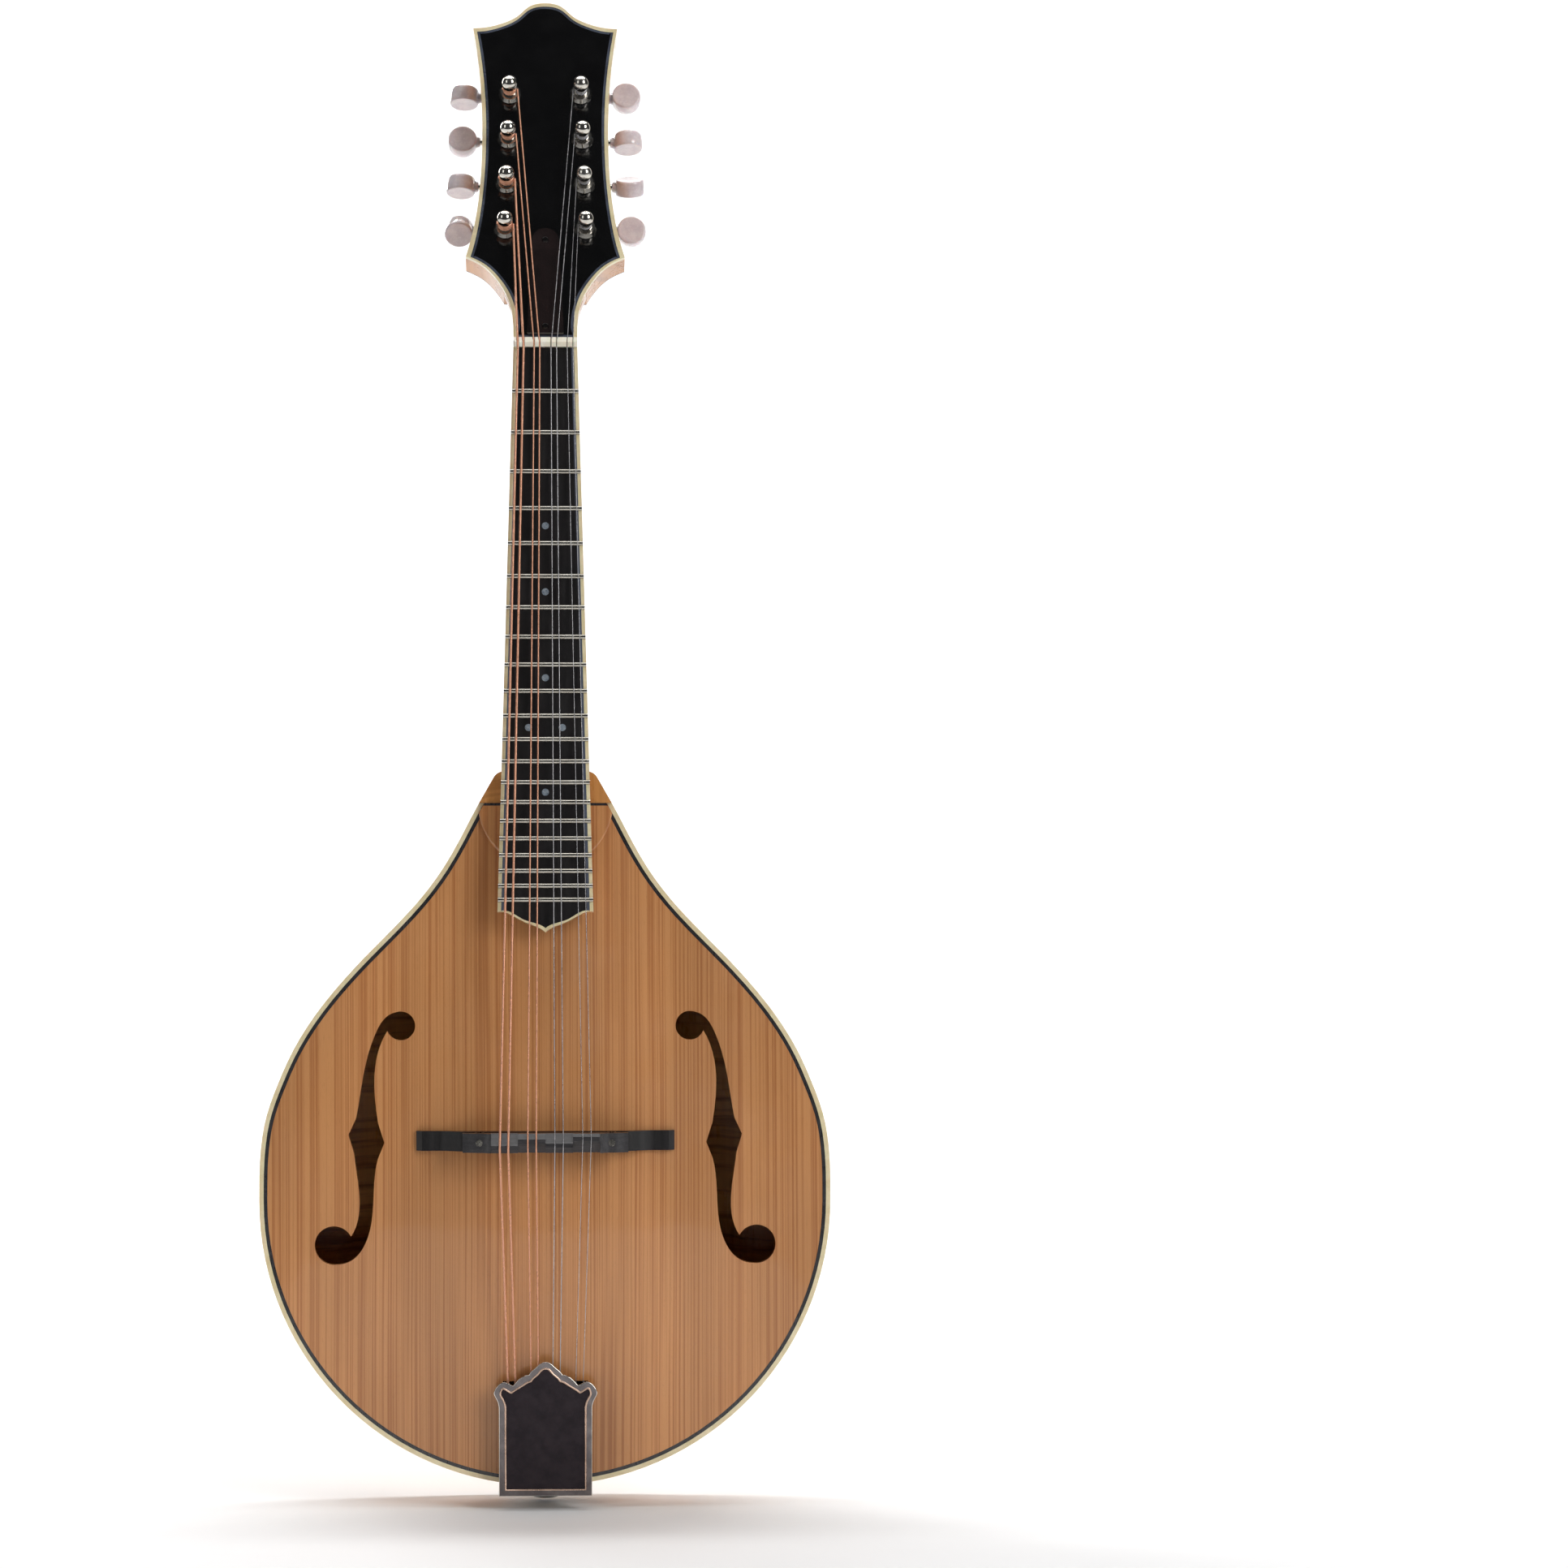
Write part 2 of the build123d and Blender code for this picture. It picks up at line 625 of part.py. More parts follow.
def column_plane(sign, w):
    """Plane of a tuner column: origin on its lowest post, y towards the tip, x to the treble side."""
    low = PEG.from_local_coords(Vector(sign * POST_X_LOW, POST_1, w))
    high = PEG.from_local_coords(Vector(sign * POST_X_HIGH, POST_1 + 3 * POST_PITCH, w))
    along = (high - low).normalized()
    return Plane(origin=low, x_dir=along.cross(PEG.z_dir), z_dir=PEG.z_dir)


def drill_plate_screws():
    """Holes for the plates' screws, up into the peghead's back."""
    for sign in (-1, 1):
        back = column_plane(sign, BACK_W - 1)
        for y in SCREW_PLACES:
            at = Plane(origin=back.from_local_coords(Vector(0, y, 0)), x_dir=(1, 0, 0), z_dir=-PEG.z_dir)
            with Locations(at):
                Hole(radius=PLATE_SCREW_R, depth=PLATE_SCREW_L + 1)


ROD_R = 2.4
ROD_CLEAR = 0.3
ROD_DEPTH = 6.5            # rod's axis behind the glue plane
ROD_TOP_S = -20.0         # rod's free end, past the nut
ROD_END = 188.0
ROD_NUT_R = 3.6
ROD_NUT_L = 6.0
POCKET_W = 9.5
POCKET_L = 24.0            # pocket under the cover, along the peghead
POCKET_D = 9.0
POCKET_U = 7.5             # pocket's lower end on the peghead
COVER_SCREW_U = (4.7, 47.8)
COVER_SCREW_R = 0.9

NECK_SOLID = neck_shaft()
NECK_CORE = neck_shaft(VENEER_T)
BLEND_SOLID = peg_blend()
BLEND_CORE = peg_blend(VENEER_T)
STINGER_FACE = Plane(origin=(0, -60, 0), x_dir=(1, 0, 0), z_dir=(0, -1, 0))

with BuildPart() as peg_wood:
    with BuildSketch(PEG):
        add(peg_outline())
        with Locations((0, PEG_BLEND - 2.6)):
            Rectangle(200, 400, align=(Align.CENTER, Align.MIN), mode=Mode.INTERSECT)
    extrude(amount=-PEG_T)
    add(BLEND_SOLID)

with BuildPart() as peghead_back_veneer:
    add(peg_wood.part)
    add(NECK_SOLID)
    with BuildSketch(STINGER_FACE):
        add(stinger_outline())
    extrude(amount=-200, mode=Mode.INTERSECT)
    add(NECK_CORE, mode=Mode.SUBTRACT)
    add(BLEND_CORE, mode=Mode.SUBTRACT)
    with BuildSketch(PEG.offset(PEG_BACK)):
        Rectangle(200, 500)
    extrude(amount=40, mode=Mode.SUBTRACT)

BORE_R = POST_R + BORE_CLEAR
SHOULDER_B = PAD_B


def bore_peghead(radius, start, depth):
    """The eight post holes, from a plane over the peghead's face downwards."""
    for column, sign, k, x, u in POSTS:
        with Locations(peg_plane(x, u, start)):
            Hole(radius=radius, depth=depth)


with BuildPart() as neck:
    add(peg_wood.part)
    add(NECK_SOLID)
    with BuildSketch(RIM.offset(-RIM_DEPTH)):
        add(outline())
        with Locations((0, JOINT_Z)):
            Rectangle(200, 60, align=(Align.CENTER, Align.MIN), mode=Mode.INTERSECT)
    extrude(amount=RIM_DEPTH + SHOULDER_B)
    # everything behind the back plate or below the joint is cut away
    with BuildSketch(RIM.offset(-RIM_DEPTH)):
        with Locations((0, -240)):
            Rectangle(300, 300)
    extrude(amount=-80, mode=Mode.SUBTRACT)
    with BuildSketch(RIM.offset(-RIM_DEPTH - 60)):
        with Locations((0, JOINT_Z)):
            Rectangle(300, 300, align=(Align.CENTER, Align.MAX))
    extrude(amount=160, mode=Mode.SUBTRACT)
    with BuildSketch(RIM.offset(TENON_TOP)):
        add(TENON)
    extrude(amount=-(RIM_DEPTH + TENON_TOP))
    # riser that carries the fingerboard's end over the arched top
    with BuildSketch(NECK):
        with BuildLine():
            Polyline(
                (-board_half(186), -186), (board_half(186), -186),
                (board_half(BOARD_END) - 2, 3 - BOARD_END),
                (2 - board_half(BOARD_END), 3 - BOARD_END), close=True,
            )
        make_face()
    extrude(amount=-12)
    with BuildPart(mode=Mode.PRIVATE) as body_space:
        with BuildSketch(RIM.offset(-RIM_DEPTH)):
            with Locations((0, JOINT_Z)):
                Rectangle(200, 200, align=(Align.CENTER, Align.MAX))
        extrude(amount=RIM_DEPTH + 40)
        add(UNDER_TOP, mode=Mode.INTERSECT)
        with BuildSketch(RIM):
            with Locations((0, JOINT_Z)):
                Circle(PAD_R)
                Rectangle(2 * PAD_R, PAD_R, align=(Align.CENTER, Align.MIN), mode=Mode.SUBTRACT)
        extrude(amount=PAD_B)
        with BuildSketch(RIM.offset(TENON_TOP)):
            add(TENON)
        extrude(amount=-(RIM_DEPTH + TENON_TOP), mode=Mode.SUBTRACT)
    add(body_space.part, mode=Mode.SUBTRACT)
    # channel for the rod, its pocket under the cover, and the post holes
    with BuildSketch(NECK.offset(0)):
        with Locations((0, -ROD_TOP_S)):
            Rectangle(2 * (ROD_R + ROD_CLEAR), ROD_END - ROD_TOP_S + 1, align=(Align.CENTER, Align.MAX))
    extrude(amount=-(ROD_DEPTH + ROD_R + ROD_CLEAR), mode=Mode.SUBTRACT)
    with BuildSketch(PEG):
        with Locations((0, POCKET_L / 2 + POCKET_U)):
            SlotOverall(POCKET_L, POCKET_W, rotation=90)
    extrude(amount=-POCKET_D, mode=Mode.SUBTRACT)
    bore_peghead(BORE_R, OVERLAY_T, 30)
    bore_peghead(BUSH_R + BUSH_FIT, OVERLAY_T, BUSH_L)
    drill_plate_screws()
    add(peghead_back_veneer.part, mode=Mode.SUBTRACT)
save(neck.part, "neck")

with BuildPart() as veneer_bored:
    add(peghead_back_veneer.part)
    bore_peghead(BORE_R, OVERLAY_T, 30)
    drill_plate_screws()
save(veneer_bored.part, "peghead_back_veneer")

with BuildPart() as truss_rod:
    with BuildSketch(across_neck(ROD_TOP_S)):
        with Locations((0, ROD_DEPTH)):
            Circle(ROD_R)
    extrude(amount=-(ROD_END - ROD_TOP_S))
    with BuildSketch(across_neck(ROD_TOP_S + 1.5)):
        with Locations((0, ROD_DEPTH)):
            RegularPolygon(radius=ROD_NUT_R, side_count=6)
    extrude(amount=-ROD_NUT_L)
save(truss_rod.part, "truss_rod")

with BuildPart() as peghead_overlay:
    with BuildSketch(PEG):
        add(peg_outline(PEG_BIND))
        with Locations((0, POCKET_L / 2 + POCKET_U)):
            SlotOverall(POCKET_L, POCKET_W, rotation=90, mode=Mode.SUBTRACT)
    extrude(amount=OVERLAY_T)
    bore_peghead(BUSH_R + BUSH_FIT, OVERLAY_T, BUSH_L)
    for u in COVER_SCREW_U:
        with Locations(peg_plane(0, u, OVERLAY_T)):
            Hole(radius=COVER_SCREW_R, depth=OVERLAY_T)
save(peghead_overlay.part, "peghead_overlay")

with BuildPart() as peghead_binding:
    with BuildSketch(PEG):
        add(peg_outline() - peg_outline(PEG_BIND))
    extrude(amount=OVERLAY_T)
save(peghead_binding.part, "peghead_binding")

COVER_PLATE_T = 1.8
with BuildPart() as truss_rod_cover:
    with BuildSketch(PEG.offset(OVERLAY_T)):
        with BuildLine():
            Line((-8.3, 1.0), (8.3, 1.0))
            Line((8.3, 1.0), (6.1, 47.5))
            ThreePointArc((6.1, 47.5), (0, 53.6), (-6.1, 47.5))
            Line((-6.1, 47.5), (-8.3, 1.0))
        make_face()
    extrude(amount=COVER_PLATE_T)
    chamfer(truss_rod_cover.faces().sort_by(Axis.Y)[0].edges(), length=0.5)
    for u in COVER_SCREW_U:
        at = PEG.from_local_coords(Vector(0, u, OVERLAY_T + COVER_PLATE_T))
        with Locations(Plane(origin=at, x_dir=(1, 0, 0), z_dir=PEG.z_dir)):
            Hole(radius=COVER_SCREW_R, depth=COVER_PLATE_T)
save(truss_rod_cover.part, "truss_rod_cover")


def round_head_screw(plane, shank_r, shank_l, head_r, head_h):
    """Domed head standing on the plane with a slot, and a shank below it."""
    with BuildSketch(plane.offset(-shank_l)) as shank:
        Circle(shank_r)
    extrude(shank.sketch, amount=shank_l)
    with BuildSketch(plane) as head:
        Circle(head_r)
    extrude(head.sketch, amount=head_h, taper=32)
    with BuildSketch(plane.offset(head_h * 0.55)) as slot:
        Rectangle(2.2 * head_r, 0.32)
    extrude(slot.sketch, amount=head_h, mode=Mode.SUBTRACT)


SCREW_PLAY = 0.03          # between a screw's shank and its hole
with BuildPart() as truss_cover_screws:
    for u in COVER_SCREW_U:
        at = peg_plane(0, u, OVERLAY_T + COVER_PLATE_T)
        round_head_screw(at, COVER_SCREW_R - SCREW_PLAY, 3.4, 1.5, 0.7)
save(truss_cover_screws.part, "truss_cover_screws")

# ---------------------------------------------------------------- fingerboard
BOARD_FACE = NECK.offset(BOARD_T)


def board_outline(inset=0.0):
    """Tapered board from the nut to its ogee end."""
    low = board_half(BOARD_END) - inset
    end = -BOARD_END + inset * 0.3
    with BuildSketch(mode=Mode.PRIVATE) as face:
        with BuildLine():
            Line((0, 0), (NUT_W / 2 - inset, 0))
            Line((NUT_W / 2 - inset, 0), (low, end))
            Spline((low, end), (low * 0.50, end - BOARD_TIP * 0.42),
                   (0, -BOARD_END - BOARD_TIP + inset * 1.1), tangents=[(-0.9, 0.25), (-0.75, -0.75)])
            mirror(about=Plane.YZ)
        make_face()
    return face.sketch


with BuildPart() as fingerboard:
    with BuildSketch(NECK):
        add(board_outline(BOARD_BIND))
    extrude(amount=BOARD_T)
    with BuildSketch(BOARD_FACE):
        for n in range(1, FRETS + 1):
            with Locations((0, -fret_place(n))):
                Rectangle(60, TANG_W + 0.02)
    extrude(amount=-(TANG_D + 0.02), mode=Mode.SUBTRACT)
    for n, places in DOT_FRETS.items():
        middle = (fret_place(n) + fret_place(n - 1)) / 2
        for x in places:
            with Locations(Plane(origin=neck_point(x, middle, BOARD_T), x_dir=(1, 0, 0), z_dir=NECK.z_dir)):
                Hole(radius=DOT_D / 2, depth=DOT_T)
save(fingerboard.part, "fingerboard")

with BuildPart() as fingerboard_binding:
    with BuildSketch(NECK):
        add(board_outline() - board_outline(BOARD_BIND))
    extrude(amount=BOARD_T)
save(fingerboard_binding.part, "fingerboard_binding")

with BuildPart() as frets:
    for n in range(1, FRETS + 1):
        s = fret_place(n)
        half = board_half(s)
        with BuildSketch(Plane(origin=neck_point(-half, s, BOARD_T), x_dir=NECK.y_dir, z_dir=(1, 0, 0))):
            with BuildLine():
                Line((-FRET_W / 2, 0), (FRET_W / 2, 0))
                ThreePointArc((FRET_W / 2, 0), (0, FRET_H), (-FRET_W / 2, 0))
            make_face()
        extrude(amount=2 * half)
        inner = half - BOARD_BIND - 0.1
        with BuildSketch(Plane(origin=neck_point(0, s, BOARD_T), x_dir=(1, 0, 0), z_dir=NECK.z_dir)):
            Rectangle(2 * inner, TANG_W)
        extrude(amount=-TANG_D)
save(frets.part, "frets")

with BuildPart() as position_dots:
    for n, places in DOT_FRETS.items():
        middle = (fret_place(n) + fret_place(n - 1)) / 2
        with BuildSketch(NECK.offset(BOARD_T - DOT_T)):
            with Locations([(x, -middle) for x in places]):
                Circle(DOT_D / 2 - 0.02)
        extrude(amount=DOT_T + 0.02)
save(position_dots.part, "position_dots")

# ---------------------------------------------------------------- string places
STRING_X_NUT = [-12.3, -9.7, -5.0, -2.5, 2.5, 5.0, 9.7, 12.3]
STRING_X_BRIDGE = [-20.1, -16.4, -7.8, -4.1, 4.1, 7.8, 16.4, 20.1]
STRING_X_TAIL = [-16.7, -13.4, -6.4, -3.2, 3.2, 6.4, 13.4, 16.7]
STRING_R = [0.50, 0.50, 0.33, 0.33, 0.20, 0.20, 0.14, 0.14]
STRING_POST = [3, 2, 1, 0, 0, 1, 2, 3]
BRIDGE_Z = neck_point(0, BRIDGE_S, 0).Z
SLOT_FALL = 0.30           # fall of a slot's floor over its length
WIND_W = 7.8               # height of the windings over the wood's face

# each course's crest across the saddle's width, stepped for intonation: G D A E
COURSE_EDGES = [-24.0, -12.1, 0.0, 12.1, 24.0]
COURSE_CREST = [-1.9, 0.9, -0.9, 2.0]
SADDLE_CREST_OF = [COURSE_CREST[i // 2] for i in range(8)]
POST_GAP = 0.35            # between a still string and its turning post
STRING_BEND = 2.0


def string_path(i):
    """Corners of a string from its hook over lip, saddle and nut to its post."""
    r = STRING_R[i]
    sign = -1 if i < 4 else 1
    column, side, k, post_x, post_u = [p for p in POSTS if p[1] == sign and p[2] == STRING_POST[i]][0]
    crest = SADDLE_CREST_OF[i]
    lip_top = TAIL_LIP_B + 0.5
    return [
        rim_point(STRING_X_TAIL[i], TAIL_HOOK_Z + 0.8, TAIL_LIP_B - 0.3),
        rim_point(STRING_X_TAIL[i], TAIL_LIP_Z, lip_top + r + STRING_GAP),
        rim_point(STRING_X_BRIDGE[i], BRIDGE_Z + crest, SADDLE_TOP + r + STRING_GAP),
        neck_point(STRING_X_NUT[i], 0, NUT_SLOT_H + r + STRING_GAP),
        PEG.from_local_coords(Vector(post_x - sign * (POST_R + r + POST_GAP), post_u - 0.5, WIND_W)),
    ]


def string(i, swell=0.0):
    """One string as a round wire along its bent path, thicker by a swell."""
    corners = string_path(i)
    with BuildLine() as path:
        FilletPolyline(*corners, radius=STRING_BEND)
    with BuildSketch(Plane(origin=corners[0], z_dir=corners[1] - corners[0])) as wire:
        Circle(STRING_R[i] + swell)
    return sweep(wire.sketch, path=path.wire())


STRINGS = [string(i) for i in range(8)]
STRING_SLOTS = [string(i, STRING_GAP) for i in range(8)]
for name, first in (("wound_strings", 0), ("plain_strings", 4)):
    with BuildPart() as strings:
        for wire in STRINGS[first:first + 4]:
            add(wire)
    save(strings.part, name)

# ---------------------------------------------------------------- nut
with BuildPart() as nut:
    with BuildSketch(across_neck(-NUT_T)):
        with BuildLine():
            Polyline((-NUT_W / 2, 0), (-NUT_W / 2, 1 - NUT_H), (1 - NUT_W / 2, -NUT_H),
                     (NUT_W / 2 - 1, -NUT_H), (NUT_W / 2, 1 - NUT_H), (NUT_W / 2, 0), close=True)
        make_face()
    extrude(amount=-NUT_T)
    # each slot's floor falls back with its string
    for x, r in zip(STRING_X_NUT, STRING_R):
        wide = 2 * (r + STRING_GAP)
        with BuildSketch(Plane(origin=neck_point(x - wide / 2, 0, 0), x_dir=NECK.y_dir, z_dir=(1, 0, 0))):
            with BuildLine():
                Polyline((-1, NUT_SLOT_H), (0, NUT_SLOT_H), (NUT_T + 1, NUT_SLOT_H - (NUT_T + 1) * SLOT_FALL),
                         (NUT_T + 1, NUT_H + 1), (-1, NUT_H + 1), close=True)
            make_face()
        extrude(amount=wide, mode=Mode.SUBTRACT)
    # the overlay side of the nut falls away with the strings
    with BuildSketch(Plane(origin=neck_point(0, 0, 0), x_dir=NECK.y_dir, z_dir=(1, 0, 0))):
        with BuildLine():
            Polyline((NUT_T * 0.45, NUT_H + 1), (NUT_T * 0.45, NUT_H - 0.2), (NUT_T + 1, NUT_H - 2.6),
                     (NUT_T + 1, NUT_H + 1), close=True)
        make_face()
    extrude(amount=NUT_W, both=True, mode=Mode.SUBTRACT)
    for slot in STRING_SLOTS:
        add(slot, mode=Mode.SUBTRACT)
save(nut.part, "nut")

# ---------------------------------------------------------------- bridge
ARM_TIP = 3.4              # arm's thickness at its ends
arm_tip_b = top_outer(BRIDGE_L / 2, BRIDGE_Z) + ARM_TIP
# the bridge face's y axis points back, so heights over the rim are negative
BRIDGE_FACE = Plane(origin=(0, -RIM_FRONT, BRIDGE_Z), x_dir=(1, 0, 0), z_dir=(0, 0, 1))
SADDLE_HALF = SADDLE_L / 2
with BuildPart() as bridge_base:
    with BuildSketch(BRIDGE_FACE):
        with BuildLine():
            Line((0, -BRIDGE_TOP), (SADDLE_HALF - 0.5, -BRIDGE_TOP))
            Spline((SADDLE_HALF - 0.5, -BRIDGE_TOP), (SADDLE_HALF + 3.5, -BRIDGE_TOP + 1.7),
                   (SADDLE_HALF + 11, -arm_tip_b + 0.3), (BRIDGE_L / 2 - 2.5, -arm_tip_b),
                   tangents=[(1, 0.1), (1, 0.1)])
            Line((BRIDGE_L / 2 - 2.5, -arm_tip_b), (BRIDGE_L / 2, -arm_tip_b + 2.2))
            Line((BRIDGE_L / 2, -arm_tip_b + 2.2), (BRIDGE_L / 2, -2))
            Line((BRIDGE_L / 2, -2), (0, -2))
            mirror(about=Plane.YZ)
        make_face()
    extrude(amount=BRIDGE_W / 2, both=True)
    add(UNDER_TOP, mode=Mode.SUBTRACT)
    for x in (-STUD_X, STUD_X):
        with Locations(Plane(origin=rim_point(x, BRIDGE_Z, BRIDGE_TOP), x_dir=(1, 0, 0), z_dir=(0, -1, 0))):
            Hole(radius=STUD_R + 0.02, depth=4.0)
save(bridge_base.part, "bridge_base")

STUD_TOP = SADDLE_FOOT + 5.0
WHEEL_GAP = 0.05
with BuildPart() as bridge_studs:
    with BuildSketch(RIM.offset(BRIDGE_TOP - 4.0)):
        with Locations((-STUD_X, BRIDGE_Z), (STUD_X, BRIDGE_Z)):
            Circle(STUD_R)
    extrude(amount=STUD_TOP - BRIDGE_TOP + 4.0)
save(bridge_studs.part, "bridge_studs")

for side, x in (("bass", -STUD_X), ("treble", STUD_X)):
    with BuildPart() as wheel:
        with BuildSketch(RIM.offset(SADDLE_FOOT - WHEEL_GAP - WHEEL_T)):
            with Locations((x, BRIDGE_Z)):
                Circle(WHEEL_R)
                with PolarLocations(WHEEL_R + 0.15, 24):
                    Circle(0.42, mode=Mode.SUBTRACT)
                Circle(STUD_R + STUD_FIT, mode=Mode.SUBTRACT)
        extrude(amount=WHEEL_T)
    save(wheel.part, f"bridge_wheel_{side}")

with BuildPart() as bridge_saddle:
    with BuildSketch(BRIDGE_FACE):
        with BuildLine():
            Line((0, -SADDLE_TOP), (23.5, -SADDLE_TOP))
            Spline((23.5, -SADDLE_TOP), (26.5, -SADDLE_TOP + 2.2), (31.0, -SADDLE_FOOT - 5.0),
                   (SADDLE_HALF, -SADDLE_FOOT - 3.6), tangents=[(1, 0.1), (1, 0.1)])
            Line((SADDLE_HALF, -SADDLE_FOOT - 3.6), (SADDLE_HALF, -SADDLE_FOOT))
            Line((SADDLE_HALF, -SADDLE_FOOT), (0, -SADDLE_FOOT))
            mirror(about=Plane.YZ)
        make_face()
    extrude(amount=BRIDGE_W / 2 - 0.1, both=True)
    # the top is cut down beside each course's crest
    for x0, x1, zc in zip(COURSE_EDGES, COURSE_EDGES[1:], COURSE_CREST):
        for sign in (-1, 1):
            with BuildSketch(Plane(origin=rim_point(x0, BRIDGE_Z + zc, 0), x_dir=(0, 0, 1), z_dir=(1, 0, 0))):
                with BuildLine():
                    Polyline((sign * 0.9, SADDLE_TOP), (sign * 7.0, SADDLE_TOP - 5.2),
                             (sign * 7.0, SADDLE_TOP + 3.0), (sign * 0.9, SADDLE_TOP + 3.0), close=True)
                make_face()
            extrude(amount=x1 - x0, mode=Mode.SUBTRACT)
    for x in (-STUD_X, STUD_X):
        with Locations(Plane(origin=rim_point(x, BRIDGE_Z, SADDLE_TOP), x_dir=(1, 0, 0), z_dir=(0, -1, 0))):
            Hole(radius=STUD_R + STUD_FIT, depth=SADDLE_TOP - SADDLE_FOOT + 1)
    for slot in STRING_SLOTS:
        add(slot, mode=Mode.SUBTRACT)
save(bridge_saddle.part, "bridge_saddle")

# ---------------------------------------------------------------- tailpiece
HINGE_Z = TAIL_Z - HINGE_OUT
HINGE_EAR_X = TAIL_FLANGE_W / 2 - 1.2
EAR_T = 1.1
HINGE_EAR_R = 1.7
HOOK_FOOT_B = 8.6


def side_plane(x):
    """Plane across X whose local x is +Z and whose local y is the height over the rim."""
    return Plane(origin=(x, -RIM_FRONT, 0), x_dir=(0, 0, 1), z_dir=(1, 0, 0))


FLANGE_LOW = -RIM_DEPTH + 8
with BuildPart() as tailpiece_base:
    with BuildSketch(side_plane(-TAIL_FLANGE_W / 2)):
        with BuildLine():
            FilletPolyline(
                (TAIL_Z - 0.1, FLANGE_LOW), (TAIL_Z - 0.1, 5.2), (TAIL_LIP_Z - 5, TAIL_LIP_B - 2.6),
                (TAIL_LIP_Z, TAIL_LIP_B - 0.7), radius=1.0,
            )
            offset(amount=TAIL_PLATE_T, side=Side.LEFT)
        make_face()
    extrude(amount=TAIL_FLANGE_W)
    # hinge ears stand up beside the plate, with their pins pointing out
    for sign in (-1, 1):
        outer = sign * HINGE_EAR_X
        with BuildSketch(side_plane(outer - (EAR_T if sign > 0 else 0))):
            with Locations((HINGE_Z, HINGE_B)):
                Circle(HINGE_EAR_R)
            with BuildLine():
                Polyline((HINGE_Z - HINGE_EAR_R, HINGE_B), (HINGE_Z + HINGE_EAR_R, HINGE_B),
                         (TAIL_Z + 2.4, 5.8), (TAIL_Z - 1.0, 4.0), close=True)
            make_face()
        extrude(amount=EAR_T)
        with BuildSketch(side_plane(outer)):
            with Locations((HINGE_Z, HINGE_B)):
                Circle(HINGE_PIN_R)
        extrude(amount=sign * (TAIL_W / 2 - 0.05 - HINGE_EAR_X))
    # hooks for the eight strings, standing on the plate
    for x in STRING_X_TAIL:
        with BuildSketch(RIM.offset(HOOK_FOOT_B)):
            with Locations((x, TAIL_HOOK_Z)):
                Rectangle(1.6, 1.2)
        extrude(amount=TAIL_LIP_B + 0.5 - HOOK_FOOT_B)
    tail = Plane(origin=rim_point(0, TAIL_Z - 4, END_PIN_B), x_dir=(1, 0, 0), z_dir=(0, 0, -1))
    with Locations(tail):
        Hole(radius=END_PIN_R, depth=8)
        with GridLocations(2 * FLANGE_SCREW_X, 0, 2, 1):
            Hole(radius=FLANGE_SCREW_R, depth=8)
save(tailpiece_base.part, "tailpiece_base")

COVER_TILT = math.degrees(math.atan2(COVER_TIP_B - COVER_TAIL_B, COVER_LEN))
COVER_TAIL_Z = TAIL_Z - 3.2
COVER = Plane(origin=rim_point(0, COVER_TAIL_Z, COVER_TAIL_B), x_dir=(1, 0, 0), z_dir=(0, -1, 0))
COVER = COVER.rotated((COVER_TILT, 0, 0))
EAR_HALF = 22.5            # over the cover's rounded ears
EAR_V = 48.0               # their place from the tail
NOTCH = (14.4, 49.0)


def cover_outline(inset=0.0):
    """Tailpiece cover seen from the front: straight sides, round ears and a stepped crown."""
    half = TAIL_W / 2 - inset
    with BuildSketch(mode=Mode.PRIVATE) as face:
        with BuildLine():
            Line((0, inset), (half, inset))
            Line((half, inset), (half, 39.5))
            Spline((half, 39.5), (EAR_HALF - inset, EAR_V - 1.4), (EAR_HALF - 3.2, EAR_V + 2.4 - inset),
                   (NOTCH[0] + inset * 0.3, NOTCH[1] - inset * 1.1),
                   tangents=[(0.1, 1), (-1, -0.45)])
            Spline((NOTCH[0] + inset * 0.3, NOTCH[1] - inset * 1.1), (11.4 - inset * 0.5, 52.1 - inset),
                   (7.2 - inset * 0.3, 53.9 - inset), tangents=[(-0.8, 0.7), (-1, 0.15)])
            Spline((7.2 - inset * 0.3, 53.9 - inset), (4.0 - inset * 0.3, 57.2 - inset),
                   (0, COVER_LEN - inset), tangents=[(-0.45, 1), (-1, 0)])
            mirror(about=Plane.YZ)
        make_face()
    return face.sketch


